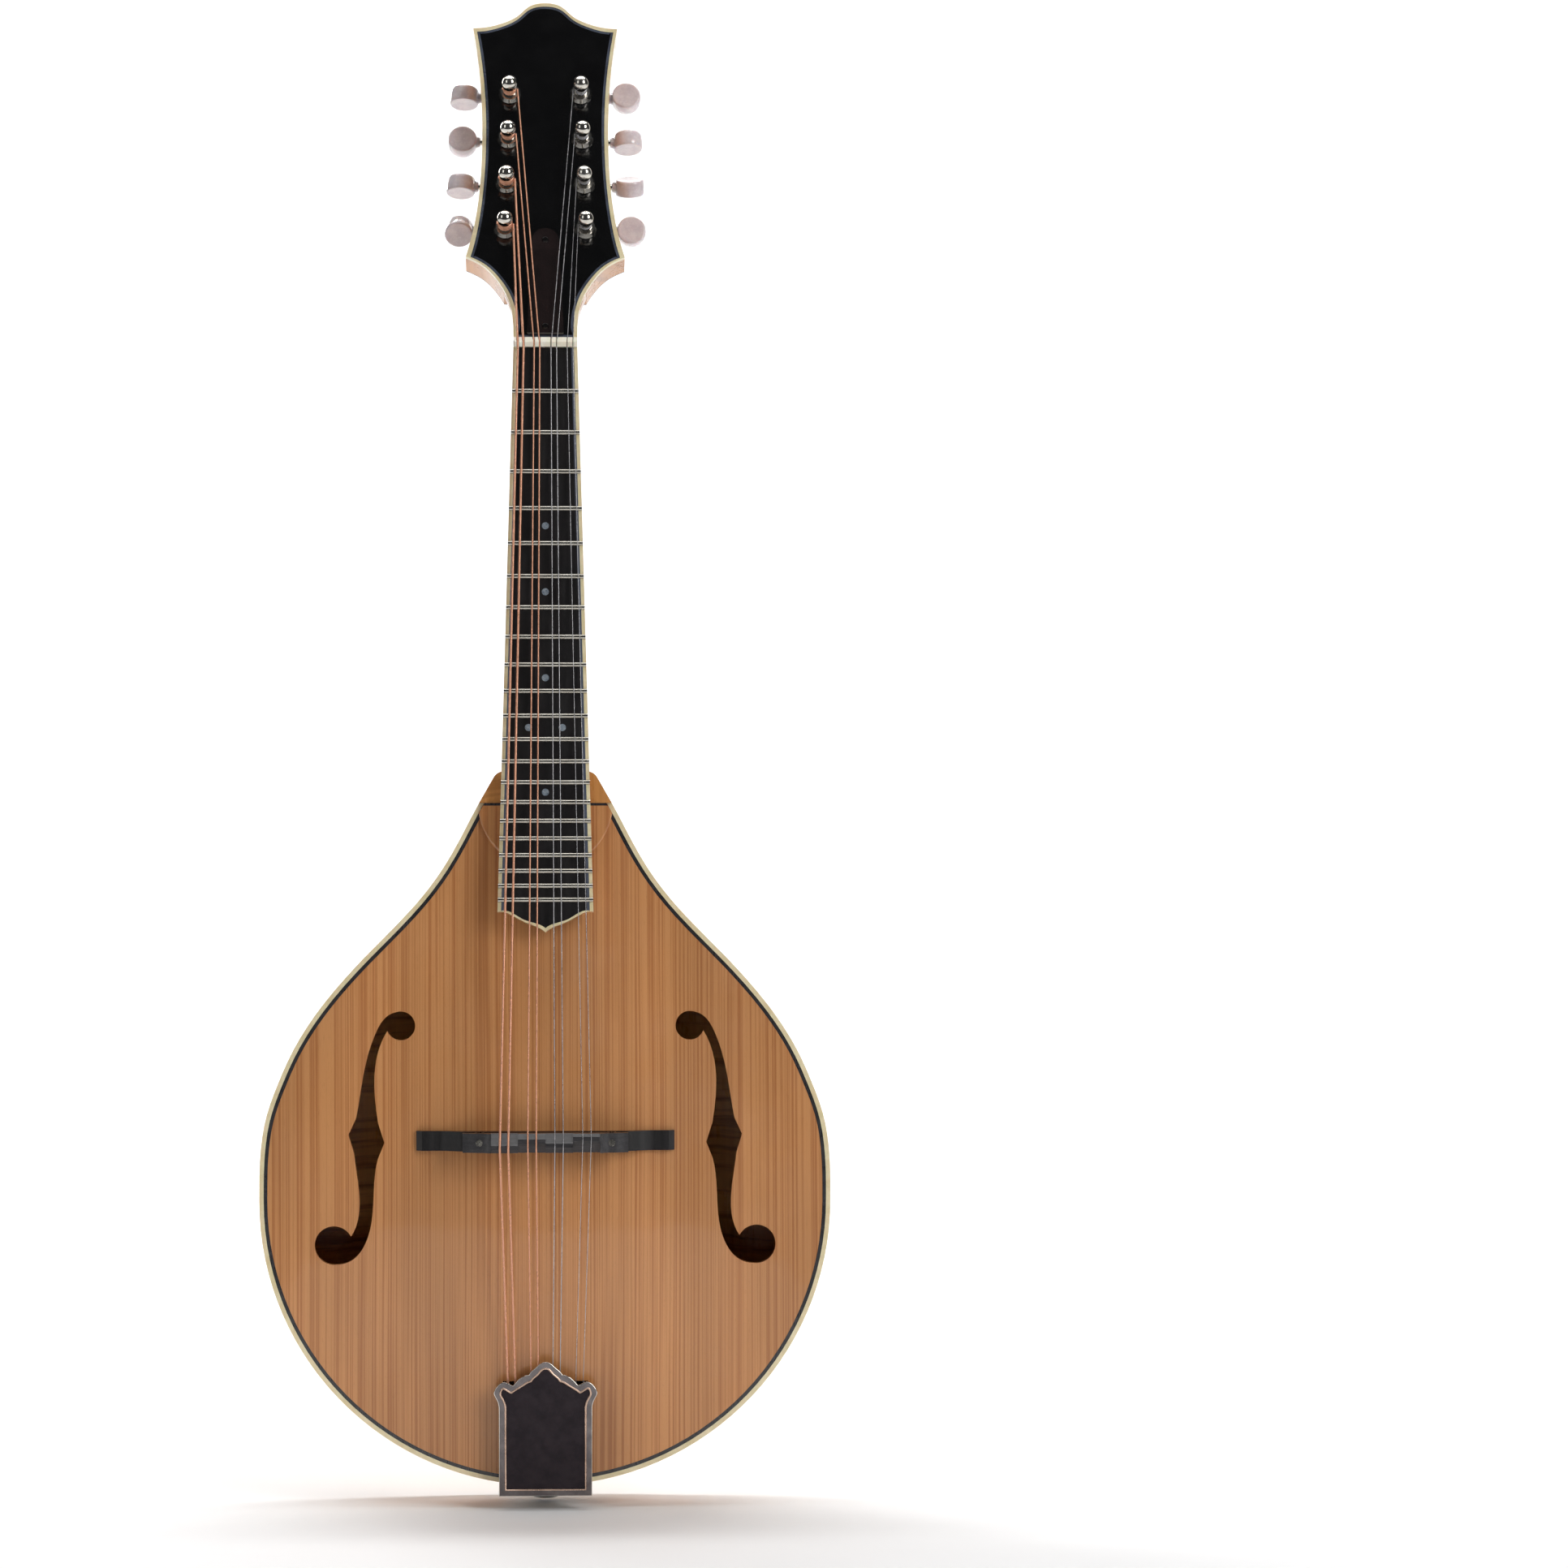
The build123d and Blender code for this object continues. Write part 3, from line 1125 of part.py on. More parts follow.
COVER_SKIRT = 3.4          # depth of the rolled edge
PANEL_INSET = 2.6
PANEL_SINK = 0.35
with BuildPart() as tailpiece_cover:
    with BuildSketch(COVER):
        add(cover_outline())
    extrude(amount=-COVER_SKIRT)
    with BuildSketch(COVER.offset(-COVER_T)):
        add(cover_outline(COVER_T))
    extrude(amount=-COVER_SKIRT, mode=Mode.SUBTRACT)
    # the skirt is cut away over the strings, between the ears
    with BuildSketch(COVER.offset(-COVER_T - 0.5)):
        with Locations((0, EAR_V)):
            Rectangle(2 * 19.0, 30)
    extrude(amount=-COVER_SKIRT, mode=Mode.SUBTRACT)
    with BuildSketch(COVER):
        add(cover_outline(PANEL_INSET))
    extrude(amount=-PANEL_SINK, mode=Mode.SUBTRACT)
    # the tail skirt is notched round the base's hinge ears
    for sign in (-1, 1):
        with BuildSketch(RIM.offset(HINGE_B - 4)):
            with Locations((sign * (HINGE_EAR_X - EAR_T / 2), HINGE_Z)):
                Rectangle(EAR_T + 1.2, 2 * HINGE_EAR_R + 2)
        extrude(amount=4 + HINGE_EAR_R + 0.4, mode=Mode.SUBTRACT)
    # side lugs reach down to the hinge pins
    for sign in (-1, 1):
        x = sign * TAIL_W / 2
        with BuildSketch(side_plane(x - (COVER_T if sign > 0 else 0))):
            with Locations((HINGE_Z, HINGE_B)):
                Circle(2.0)
            with Locations((HINGE_Z + 0.2, HINGE_B + 1.5)):
                Rectangle(3.6, 3.0)
        extrude(amount=COVER_T)
        with BuildSketch(side_plane(x - (COVER_T + 1 if sign > 0 else 1))):
            with Locations((HINGE_Z, HINGE_B)):
                Circle(HINGE_PIN_R + HINGE_FIT)
        extrude(amount=COVER_T + 2, mode=Mode.SUBTRACT)
save(tailpiece_cover.part, "tailpiece_cover")

FLANGE_OUT_Z = TAIL_Z - 0.1 - TAIL_PLATE_T
with BuildPart() as tailpiece_screws:
    for x in (-FLANGE_SCREW_X, FLANGE_SCREW_X):
        at = Plane(origin=rim_point(x, FLANGE_OUT_Z, END_PIN_B), x_dir=(1, 0, 0), z_dir=(0, 0, -1))
        round_head_screw(at, FLANGE_SCREW_R - SCREW_PLAY, 12.0, 2.4, 1.3)
save(tailpiece_screws.part, "tailpiece_screws")

PIN_FLANGE_R = 6.3
with BuildPart() as end_pin:
    with BuildSketch(Plane(origin=rim_point(0, 0, END_PIN_B), x_dir=(1, 0, 0), z_dir=(0, 1, 0))):
        with BuildLine():
            up = -FLANGE_OUT_Z
            Polyline((0, up - 16), (END_PIN_R - 0.5, up - 16), (END_PIN_R - SCREW_PLAY, up),
                     (5.0, up), (5.0, up + 1.4))
            Spline((5.0, up + 1.4), (3.7, up + 2.9), (4.4, up + 4.0), (PIN_FLANGE_R, up + 4.6),
                   tangents=[(-0.5, 1), (1, 0.2)])
            Line((PIN_FLANGE_R, up + 4.6), (PIN_FLANGE_R, up + 6.0))
            Spline((PIN_FLANGE_R, up + 6.0), (4.4, up + 6.75), (0, up + 7.0), tangents=[(-0.2, 1), (-1, 0)])
            Line((0, up + 7.0), (0, up - 16))
        make_face()
    revolve(axis=Axis(rim_point(0, 0, END_PIN_B), (0, 0, 1)))
save(end_pin.part, "end_pin")

# ---------------------------------------------------------------- tuners
GEAR_FRONT_W = PLATE_BACK_W - WORM_AXIS_W + GEAR_T / 2
GEAR_ROOT_R = 4.5
WORM_ROOT_R = 1.95
GEAR_PITCH_R = 5.3
WORM_PITCH = 2 * math.pi * GEAR_PITCH_R / GEAR_TEETH
HUB_R = 2.0
GEAR_SCREW_R = 1.1
SHAFT_INNER = -PLATE_W / 2 + 0.2
BUTTON_COLLAR = 1.4        # collar past the button's rim
BUTTON_BORE_L = 4.0
SHAFT_OUTER = BUTTON_AWAY - BUTTON_R - BUTTON_COLLAR + BUTTON_BORE_L - 0.05


def plate_outline():
    """Tuner plate: a strip with an arrow point at each end."""
    half = PLATE_W / 2
    top = 3 * COLUMN_STEP + PLATE_OVER_TIP
    with BuildSketch(mode=Mode.PRIVATE) as face:
        with Locations((0, (top - PLATE_OVER) / 2)):
            Rectangle(PLATE_W, top + PLATE_OVER)
        for end, turn in ((top, 1), (-PLATE_OVER, -1)):
            with BuildLine():
                Polyline((-4.6, end), (-5.2, end + turn * 1.4), (-7.2, end + turn * 2.8),
                         (-4.2, end + turn * 4.6), (0, end + turn * 9.0), (4.2, end + turn * 4.6),
                         (7.2, end + turn * 2.8), (5.2, end + turn * 1.4), (4.6, end), (0, end - turn),
                         close=True)
            make_face()
        Circle(POST_R + POST_FIT + 0.04, mode=Mode.SUBTRACT)
        for n in range(1, 4):
            with Locations((0, n * COLUMN_STEP)):
                Circle(POST_R + POST_FIT + 0.04, mode=Mode.SUBTRACT)
        with Locations((0, MID_SCREW), (0, top + END_SCREW), (0, -PLATE_OVER - END_SCREW)):
            Circle(PLATE_SCREW_R, mode=Mode.SUBTRACT)
    return face.sketch


PLATE = plate_outline()
PLATE_LENGTH = 3 * COLUMN_STEP + PLATE_OVER_TIP + PLATE_OVER
with BuildPart() as tuner_plates:
    for sign in (-1, 1):
        with BuildSketch(column_plane(sign, BACK_W)):
            add(PLATE)
        extrude(amount=-PLATE_T)
        rail_middle = PLATE_LENGTH / 2 - PLATE_OVER
        with BuildSketch(column_plane(sign, PLATE_BACK_W)):
            with Locations((RAIL_T / 2 - PLATE_W / 2, rail_middle), (PLATE_W / 2 - RAIL_T / 2, rail_middle)):
                Rectangle(RAIL_T, PLATE_LENGTH)
        extrude(amount=-RAIL_H)
        base = column_plane(sign, PLATE_BACK_W - WORM_AXIS_W)
        for n in range(4):
            at = base.from_local_coords(Vector(-PLATE_W / 2 - 1, n * COLUMN_STEP + WORM_CENTRE, 0))
            with BuildSketch(Plane(origin=at, x_dir=base.y_dir, z_dir=base.x_dir)):
                Circle(SHAFT_R + SHAFT_FIT)
            extrude(amount=PLATE_W + 2, mode=Mode.SUBTRACT)
save(tuner_plates.part, "tuner_plates")

with BuildPart() as tuner_plate_screws:
    for sign in (-1, 1):
        back = column_plane(sign, PLATE_BACK_W)
        for y in SCREW_PLACES:
            at = Plane(origin=back.from_local_coords(Vector(0, y, 0)), x_dir=(1, 0, 0), z_dir=-PEG.z_dir)
            round_head_screw(at, PLATE_SCREW_R - SCREW_PLAY, PLATE_SCREW_L, 2.1, 1.1)
save(tuner_plate_screws.part, "tuner_plate_screws")

with BuildPart() as gear_blank:
    with BuildSketch():
        Circle(GEAR_ROOT_R)
        with PolarLocations(0, GEAR_TEETH):
            with BuildLine():
                Polyline((GEAR_ROOT_R - 0.4, -0.66), (GEAR_ROOT_R - 0.4, 0.66), (GEAR_R, 0.26),
                         (GEAR_R, -0.26), close=True)
            make_face()
        Circle(HUB_R + 0.02, mode=Mode.SUBTRACT)
    extrude(amount=-GEAR_T)

with BuildPart() as post_blank:
    with BuildSketch(Plane.XZ):
        with BuildLine():
            stub = GEAR_FRONT_W - GEAR_T
            Polyline((0, stub), (HUB_R, stub), (HUB_R, GEAR_FRONT_W), (3.7, GEAR_FRONT_W),
                     (3.7, PLATE_BACK_W - 0.06), (POST_R, PLATE_BACK_W - 0.06), (POST_R, 5.6))
            Spline((POST_R, 5.6), (POST_R - 0.45, 8.0), (POST_R, 10.6), tangents=[(0, 1), (0, 1)])
            Line((POST_R, 10.6), (CAP_R, 11.4))
            Line((CAP_R, 11.4), (CAP_R, 12.6))
            Spline((CAP_R, 12.6), (CAP_R * 0.72, 15.1), (0, POST_TOP + CAP_H - 0.4), tangents=[(0, 1), (-1, 0)])
            Line((0, POST_TOP + CAP_H - 0.4), (0, stub))
        make_face()
    revolve(axis=Axis.Z)
    with Locations(Plane(origin=(0, 0, stub), x_dir=(1, 0, 0), z_dir=(0, 0, -1))):
        Hole(radius=GEAR_SCREW_R + 0.02, depth=7)
    with BuildSketch(Plane(origin=(-6, 0, WIND_W + 0.9), x_dir=(0, 1, 0), z_dir=(1, 0, 0))):
        Circle(0.7)
    extrude(amount=12, mode=Mode.SUBTRACT)

with BuildPart() as worm_blank:
    with BuildSketch(Plane.XY.offset(-WORM_L / 2)):
        Circle(WORM_ROOT_R)
    extrude(amount=WORM_L)
    with BuildSketch(Plane.XY.offset(SHAFT_INNER)):
        Circle(SHAFT_R)
    extrude(amount=SHAFT_OUTER - SHAFT_INNER)
    thread_path = Helix(pitch=WORM_PITCH, height=WORM_L - 1.2, radius=WORM_ROOT_R,
                        center=(0, 0, 0.6 - WORM_L / 2), mode=Mode.PRIVATE)
    with BuildSketch(Plane(origin=(0, 0, 0.6 - WORM_L / 2), x_dir=(1, 0, 0), z_dir=(0, -1, 0))) as tooth:
        with BuildLine():
            Polyline((WORM_ROOT_R - 0.25, -0.42), (WORM_ROOT_R - 0.25, 0.42), (WORM_R, 0.18), (WORM_R, -0.18),
                     close=True)
        make_face()
    sweep(tooth.sketch, path=thread_path, is_frenet=True)

# the thread must meet the gear half a pitch each side of the tooth that faces the worm
THREAD_TURN = -180 - 180 * (WORM_L - 1.2) / WORM_PITCH

BUTTON_CHAMFER = 1.5
with BuildPart() as button_blank:
    with BuildSketch(Plane.XZ.offset(-BUTTON_T / 2)):
        Circle(BUTTON_R)
    extrude(amount=BUTTON_T)
    chamfer(button_blank.edges().filter_by(GeomType.CIRCLE), length=BUTTON_CHAMFER, length2=BUTTON_CHAMFER * 1.4)
    with BuildSketch(Plane.XY.offset(-BUTTON_R - BUTTON_COLLAR)):
        Circle(2.3)
    extrude(amount=3.0)
    with Locations(Plane.XY.offset(-BUTTON_R - BUTTON_COLLAR).rotated((180, 0, 0))):
        Hole(radius=SHAFT_R + 0.02, depth=BUTTON_BORE_L)

# how far each button happens to be turned, from the tip down
BUTTON_TURN = {"bass": [90, 0, 90, 125], "treble": [0, 90, 130, 10]}
for column, sign, k, x, u in POSTS:
    name = f"{column}_{k + 1}"
    lift = (3 - k) * COLUMN_STEP
    face = column_plane(sign, 0)
    post_at = Plane(origin=face.from_local_coords(Vector(0, lift, 0)), x_dir=face.x_dir, z_dir=face.z_dir)
    gear_at = post_at.offset(GEAR_FRONT_W - SEAM)
    worm_base = post_at.offset(PLATE_BACK_W - WORM_AXIS_W)
    worm_at = Plane(origin=worm_base.from_local_coords(Vector(0, WORM_CENTRE, 0)), x_dir=-face.y_dir,
                    z_dir=face.x_dir * sign)
    screw_foot = post_at.offset(GEAR_FRONT_W - GEAR_T - 2 * SEAM).origin
    screw_at = Plane(origin=screw_foot, x_dir=face.x_dir, z_dir=-face.z_dir)
    with BuildPart() as tuner_post:
        add(post_at * post_blank.part)
        add(gear_at * gear_blank.part)
        round_head_screw(screw_at, GEAR_SCREW_R, 6.0, 2.9, 1.3)
    save(tuner_post.part, f"tuner_post_{name}")
    with BuildPart() as tuner_worm:
        add(worm_at * Rot(0, 0, THREAD_TURN) * worm_blank.part)
    save(tuner_worm.part, f"tuner_worm_{name}")
    with BuildPart() as tuner_button:
        button_at = worm_at.offset(BUTTON_AWAY)
        add(button_at * Rot(0, 0, BUTTON_TURN[column][k]) * button_blank.part)
    save(tuner_button.part, f"tuner_button_{name}")

with BuildPart() as post_bushings:
    for column, sign, k, x, u in POSTS:
        seat = peg_plane(x, u, OVERLAY_T)
        with BuildSketch(Plane(origin=seat.origin, x_dir=seat.x_dir, z_dir=-seat.y_dir)):
            with BuildLine():
                Polyline((POST_R + POST_FIT, -BUSH_L), (BUSH_R, -BUSH_L), (BUSH_R, 0), (BUSH_FLANGE_R, 0),
                         (BUSH_FLANGE_R, BUSH_EDGE_T), (BUSH_R - 0.1, BUSH_FLANGE_T),
                         (POST_R + POST_FIT, BUSH_FLANGE_T), close=True)
            make_face()
        revolve(axis=Axis(seat.origin, seat.z_dir))
save(post_bushings.part, "post_bushings")
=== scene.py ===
"""Looks of an A-style f-hole mandolin: finishes, fine pieces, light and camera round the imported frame."""
import json
import logging
import math
from dataclasses import dataclass, field
from enum import Enum
from typing import Callable, Dict, Iterable, List, Optional, Sequence, Tuple

import bmesh
import bpy
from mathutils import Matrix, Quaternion, Vector


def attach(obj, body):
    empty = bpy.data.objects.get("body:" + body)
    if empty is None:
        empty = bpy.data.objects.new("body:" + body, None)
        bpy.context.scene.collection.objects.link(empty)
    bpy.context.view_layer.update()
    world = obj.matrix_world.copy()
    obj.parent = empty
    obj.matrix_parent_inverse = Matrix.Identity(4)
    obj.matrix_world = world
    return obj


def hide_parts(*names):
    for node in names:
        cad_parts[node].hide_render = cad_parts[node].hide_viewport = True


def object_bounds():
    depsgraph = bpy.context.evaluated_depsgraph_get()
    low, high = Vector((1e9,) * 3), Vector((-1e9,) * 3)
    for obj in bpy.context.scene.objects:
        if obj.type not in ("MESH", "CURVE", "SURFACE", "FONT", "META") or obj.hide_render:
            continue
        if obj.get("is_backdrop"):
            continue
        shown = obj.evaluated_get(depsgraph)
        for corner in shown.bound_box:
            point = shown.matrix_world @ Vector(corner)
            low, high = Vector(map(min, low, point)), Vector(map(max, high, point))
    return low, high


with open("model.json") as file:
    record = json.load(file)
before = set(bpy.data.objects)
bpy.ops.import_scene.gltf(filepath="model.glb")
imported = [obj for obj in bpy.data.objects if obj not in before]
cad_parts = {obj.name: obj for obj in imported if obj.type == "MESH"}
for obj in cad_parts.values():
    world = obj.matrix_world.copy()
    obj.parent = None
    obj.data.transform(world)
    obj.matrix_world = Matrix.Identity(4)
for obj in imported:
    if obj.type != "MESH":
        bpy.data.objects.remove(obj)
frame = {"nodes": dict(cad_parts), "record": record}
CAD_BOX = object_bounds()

logging.basicConfig(level=logging.INFO, format="%(message)s")
LOG = logging.getLogger("mandolin")

Colour = Tuple[float, float, float]
MM = 0.001
PEG_ANGLE = math.radians(21.0)
PEG_UP = Vector((0.0, math.sin(PEG_ANGLE), math.cos(PEG_ANGLE)))
PEG_FACE = Vector((0.0, -math.cos(PEG_ANGLE), math.sin(PEG_ANGLE)))


class Side(Enum):
    """The two halves of the instrument."""

    BASS = "bass"
    TREBLE = "treble"

    @property
    def sign(self) -> int:
        """-1 on the bass side and +1 on the treble side."""
        return -1 if self is Side.BASS else 1


def srgb(red: int, green: int, blue: int) -> Colour:
    """Linear colour of an 8-bit screen colour.

    Args:
        red: Red, 0 to 255.
        green: Green, 0 to 255.
        blue: Blue, 0 to 255.

    Returns:
        The colour in linear light.
    """
    def linear(value: int) -> float:
        """Linear value of one channel."""
        part = value / 255
        return part / 12.92 if part <= 0.04045 else ((part + 0.055) / 1.055) ** 2.4
    return (linear(red), linear(green), linear(blue))


def rgba(colour: Colour) -> Tuple[float, float, float, float]:
    """Colour with full alpha."""
    return (*colour, 1.0)


class Canvas:
    """A node tree with short calls to add and join nodes."""

    def __init__(self, tree: bpy.types.NodeTree) -> None:
        """Keeps the tree that the calls work on."""
        self.tree = tree

    def node(self, kind: str, **values: object) -> bpy.types.Node:
        """Adds a node.

        Args:
            kind: Node type name.
            **values: Attributes to set on it.

        Returns:
            The new node.
        """
        made = self.tree.nodes.new(kind)
        for name, value in values.items():
            setattr(made, name, value)
        return made

    def join(self, source: bpy.types.NodeSocket, target: bpy.types.NodeSocket) -> None:
        """Links an output to an input."""
        self.tree.links.new(source, target)

    def put(self, target: bpy.types.NodeSocket, value: object) -> None:
        """Links a socket to an input, or sets the input to a plain value."""
        if isinstance(value, bpy.types.NodeSocket):
            self.join(value, target)
        else:
            target.default_value = value

    def maths(self, operation: str, first: object, second: object = 0.0,
              clamp: bool = False) -> bpy.types.NodeSocket:
        """Result of a math node.

        Args:
            operation: Blender's name of the operation.
            first: Socket or number.
            second: Socket or number.
            clamp: Whether to keep the result in 0 to 1.

        Returns:
            The output socket.
        """
        made = self.node("ShaderNodeMath", operation=operation, use_clamp=clamp)
        self.put(made.inputs[0], first)
        self.put(made.inputs[1], second)
        return made.outputs[0]

    def span(self, value: object, low: object, high: object, to_low: object = 0.0,
             to_high: object = 1.0) -> bpy.types.NodeSocket:
        """Value carried smoothly from one range to another and held at its ends."""
        made = self.node("ShaderNodeMapRange", interpolation_type="SMOOTHSTEP")
        for target, number in zip(made.inputs[:5], (value, low, high, to_low, to_high)):
            self.put(target, number)
        return made.outputs[0]

    def blend(self, share: object, first: object, second: object,
              mode: str = "MIX") -> bpy.types.NodeSocket:
        """Colour mixed from two by a share."""
        made = self.node("ShaderNodeMix", data_type="RGBA", blend_type=mode)
        self.put(made.inputs[0], share)
        self.put(made.inputs[6], first)
        self.put(made.inputs[7], second)
        return made.outputs[2]

    def noise(self, place: object, scale: float, detail: float = 3.0,
              rough: float = 0.5) -> bpy.types.NodeSocket:
        """Grey noise at a place."""
        made = self.node("ShaderNodeTexNoise")
        self.put(made.inputs["Vector"], place)
        made.inputs["Scale"].default_value = scale
        made.inputs["Detail"].default_value = detail
        made.inputs["Roughness"].default_value = rough
        return made.outputs[0]

    def stretched(self, place: object, factors: object) -> bpy.types.NodeSocket:
        """Place multiplied by factors along each axis."""
        made = self.node("ShaderNodeVectorMath", operation="MULTIPLY")
        self.put(made.inputs[0], place)
        self.put(made.inputs[1], factors)
        return made.outputs[0]


def group_tree(name: str, inputs: Sequence[Tuple[str, str, object]],
               outputs: Sequence[Tuple[str, str]]) -> Tuple[bpy.types.NodeTree, Canvas,
                                                           bpy.types.Node, bpy.types.Node]:
    """Starts a shader node group.

    Args:
        name: Name of the group.
        inputs: Name, socket type and default of each input.
        outputs: Name and socket type of each output.

    Returns:
        The tree, a canvas on it, its input node and its output node.
    """
    tree = bpy.data.node_groups.new(name, "ShaderNodeTree")
    for label, kind, default in inputs:
        made = tree.interface.new_socket(label, in_out="INPUT", socket_type=kind)
        made.default_value = default
    for label, kind in outputs:
        tree.interface.new_socket(label, in_out="OUTPUT", socket_type=kind)
    canvas = Canvas(tree)
    return tree, canvas, canvas.node("NodeGroupInput"), canvas.node("NodeGroupOutput")


FLOAT, COLOUR, VECTOR = "NodeSocketFloat", "NodeSocketColor", "NodeSocketVector"


class Effects:
    """Shader node groups shared by the finishes, each built when first asked for."""

    made: Dict[str, bpy.types.NodeTree] = {}

    @classmethod
    def get(cls, name: str, build: Callable[[str], bpy.types.NodeTree]) -> bpy.types.NodeTree:
        """Group of that name, built once."""
        if name not in cls.made:
            cls.made[name] = build(name)
        return cls.made[name]

    @staticmethod
    def grain(name: str) -> bpy.types.NodeTree:
        """Straight wood grain: year lines across X and fine pores along the grain.

        Args:
            name: Name of the group.

        Returns:
            Group with a line mask, a pore mask, a broad shade and a height.
        """
        tree, c, into, out = group_tree(
            name,
            [("Place", VECTOR, (0, 0, 0)), ("Lines", FLOAT, 900.0), ("Waver", FLOAT, 0.35)],
            [("Line", FLOAT), ("Pore", FLOAT), ("Broad", FLOAT), ("Height", FLOAT)],
        )
        place = into.outputs["Place"]
        sway = c.noise(c.stretched(place, (8.0, 8.0, 3.0)), 1.0, 2.0)
        parts = c.node("ShaderNodeSeparateXYZ")
        c.join(place, parts.inputs[0])
        waver = c.maths("MULTIPLY", into.outputs["Waver"], 0.01)
        shift = c.maths("MULTIPLY", c.maths("SUBTRACT", sway, 0.5), waver)
        across = c.maths("MULTIPLY", c.maths("ADD", parts.outputs[0], shift), into.outputs["Lines"])
        deep = c.maths("MULTIPLY", parts.outputs[1], 40.0)
        along = c.maths("MULTIPLY", parts.outputs[2], 2.2)
        joined = c.node("ShaderNodeCombineXYZ")
        for target, value in zip(joined.inputs, (across, deep, along)):
            c.join(value, target)
        lines = c.noise(joined.outputs[0], 1.0, 1.0, 0.45)
        line = c.span(lines, 0.38, 0.7)
        pores = c.noise(c.stretched(place, (5200.0, 5200.0, 190.0)), 1.0, 2.0, 0.6)
        pore = c.span(pores, 0.55, 0.8)
        broad = c.noise(c.stretched(place, (26.0, 26.0, 4.0)), 1.0, 3.0)
        height = c.maths("SUBTRACT", c.maths("MULTIPLY", line, 0.5), c.maths("MULTIPLY", pore, 0.5))
        for label, value in (("Line", line), ("Pore", pore), ("Broad", broad), ("Height", height)):
            c.join(value, out.inputs[label])
        return tree

    @staticmethod
    def flame(name: str) -> bpy.types.NodeTree:
        """Flame figure: soft uneven bands across the grain, leaning away from the seam.

        Args:
            name: Name of the group.

        Returns:
            Group with the band mask.
        """
        tree, c, into, out = group_tree(
            name,
            [("Place", VECTOR, (0, 0, 0)), ("Bands", FLOAT, 95.0), ("Lean", FLOAT, 0.2),
             ("Sway", FLOAT, 0.02)],
            [("Band", FLOAT)],
        )
        parts = c.node("ShaderNodeSeparateXYZ")
        c.join(into.outputs["Place"], parts.inputs[0])
        out_from_seam = c.maths("ABSOLUTE", parts.outputs[0])
        sway = c.noise(c.stretched(into.outputs["Place"], (22.0, 10.0, 14.0)), 1.0, 3.0)
        bend = c.maths("MULTIPLY", c.maths("SUBTRACT", sway, 0.5), into.outputs["Sway"])
        climb = c.maths("ADD", parts.outputs[2], c.maths("MULTIPLY", out_from_seam, into.outputs["Lean"]))
        level = c.maths("MULTIPLY", c.maths("ADD", climb, bend), into.outputs["Bands"])
        joined = c.node("ShaderNodeCombineXYZ")
        c.join(c.maths("MULTIPLY", parts.outputs[0], 16.0), joined.inputs[0])
        c.join(c.maths("MULTIPLY", parts.outputs[1], 9.0), joined.inputs[1])
        c.join(level, joined.inputs[2])
        bands = c.noise(joined.outputs[0], 1.0, 3.0, 0.55)
        c.join(c.span(bands, 0.46, 0.72), out.inputs["Band"])
        return tree

    @staticmethod
    def handling(name: str) -> bpy.types.NodeTree:
        """Faint smudges and fine scratches of a handled, polished surface.

        Args:
            name: Name of the group.

        Returns:
            Group with a roughness and a small height.
        """
        tree, c, into, out = group_tree(
            name,
            [("Place", VECTOR, (0, 0, 0)), ("Low", FLOAT, 0.1), ("High", FLOAT, 0.25),
             ("Size", FLOAT, 60.0)],
            [("Roughness", FLOAT), ("Height", FLOAT)],
        )
        sized = c.node("ShaderNodeVectorMath", operation="SCALE")
        c.join(into.outputs["Place"], sized.inputs[0])
        c.join(into.outputs["Size"], sized.inputs["Scale"])
        smudge = c.noise(sized.outputs[0], 1.0, 5.0, 0.6)
        streak = c.noise(c.stretched(sized.outputs[0], (30.0, 30.0, 1.5)), 1.0, 2.0)
        mixed = c.maths("ADD", c.maths("MULTIPLY", smudge, 0.75), c.maths("MULTIPLY", streak, 0.25))
        rough = c.span(mixed, 0.35, 0.68, into.outputs["Low"], into.outputs["High"])
        c.join(rough, out.inputs["Roughness"])
        c.join(mixed, out.inputs["Height"])
        return tree

    @staticmethod
    def speckle(name: str) -> bpy.types.NodeTree:
        """Cloudy tint with fine specks, for plastic, bone, pearl and ebony.

        Args:
            name: Name of the group.

        Returns:
            Group with a cloud mask and a speck mask.
        """
        tree, c, into, out = group_tree(
            name,
            [("Place", VECTOR, (0, 0, 0)), ("Cloud", FLOAT, 120.0), ("Speck", FLOAT, 1500.0)],
            [("Cloud", FLOAT), ("Speck", FLOAT)],
        )
        for label, low, high in (("Cloud", 0.3, 0.7), ("Speck", 0.5, 0.75)):
            sized = c.node("ShaderNodeVectorMath", operation="SCALE")
            c.join(into.outputs["Place"], sized.inputs[0])
            c.join(into.outputs[label], sized.inputs["Scale"])
            c.join(c.span(c.noise(sized.outputs[0], 1.0, 4.0, 0.6), low, high), out.inputs[label])
        return tree


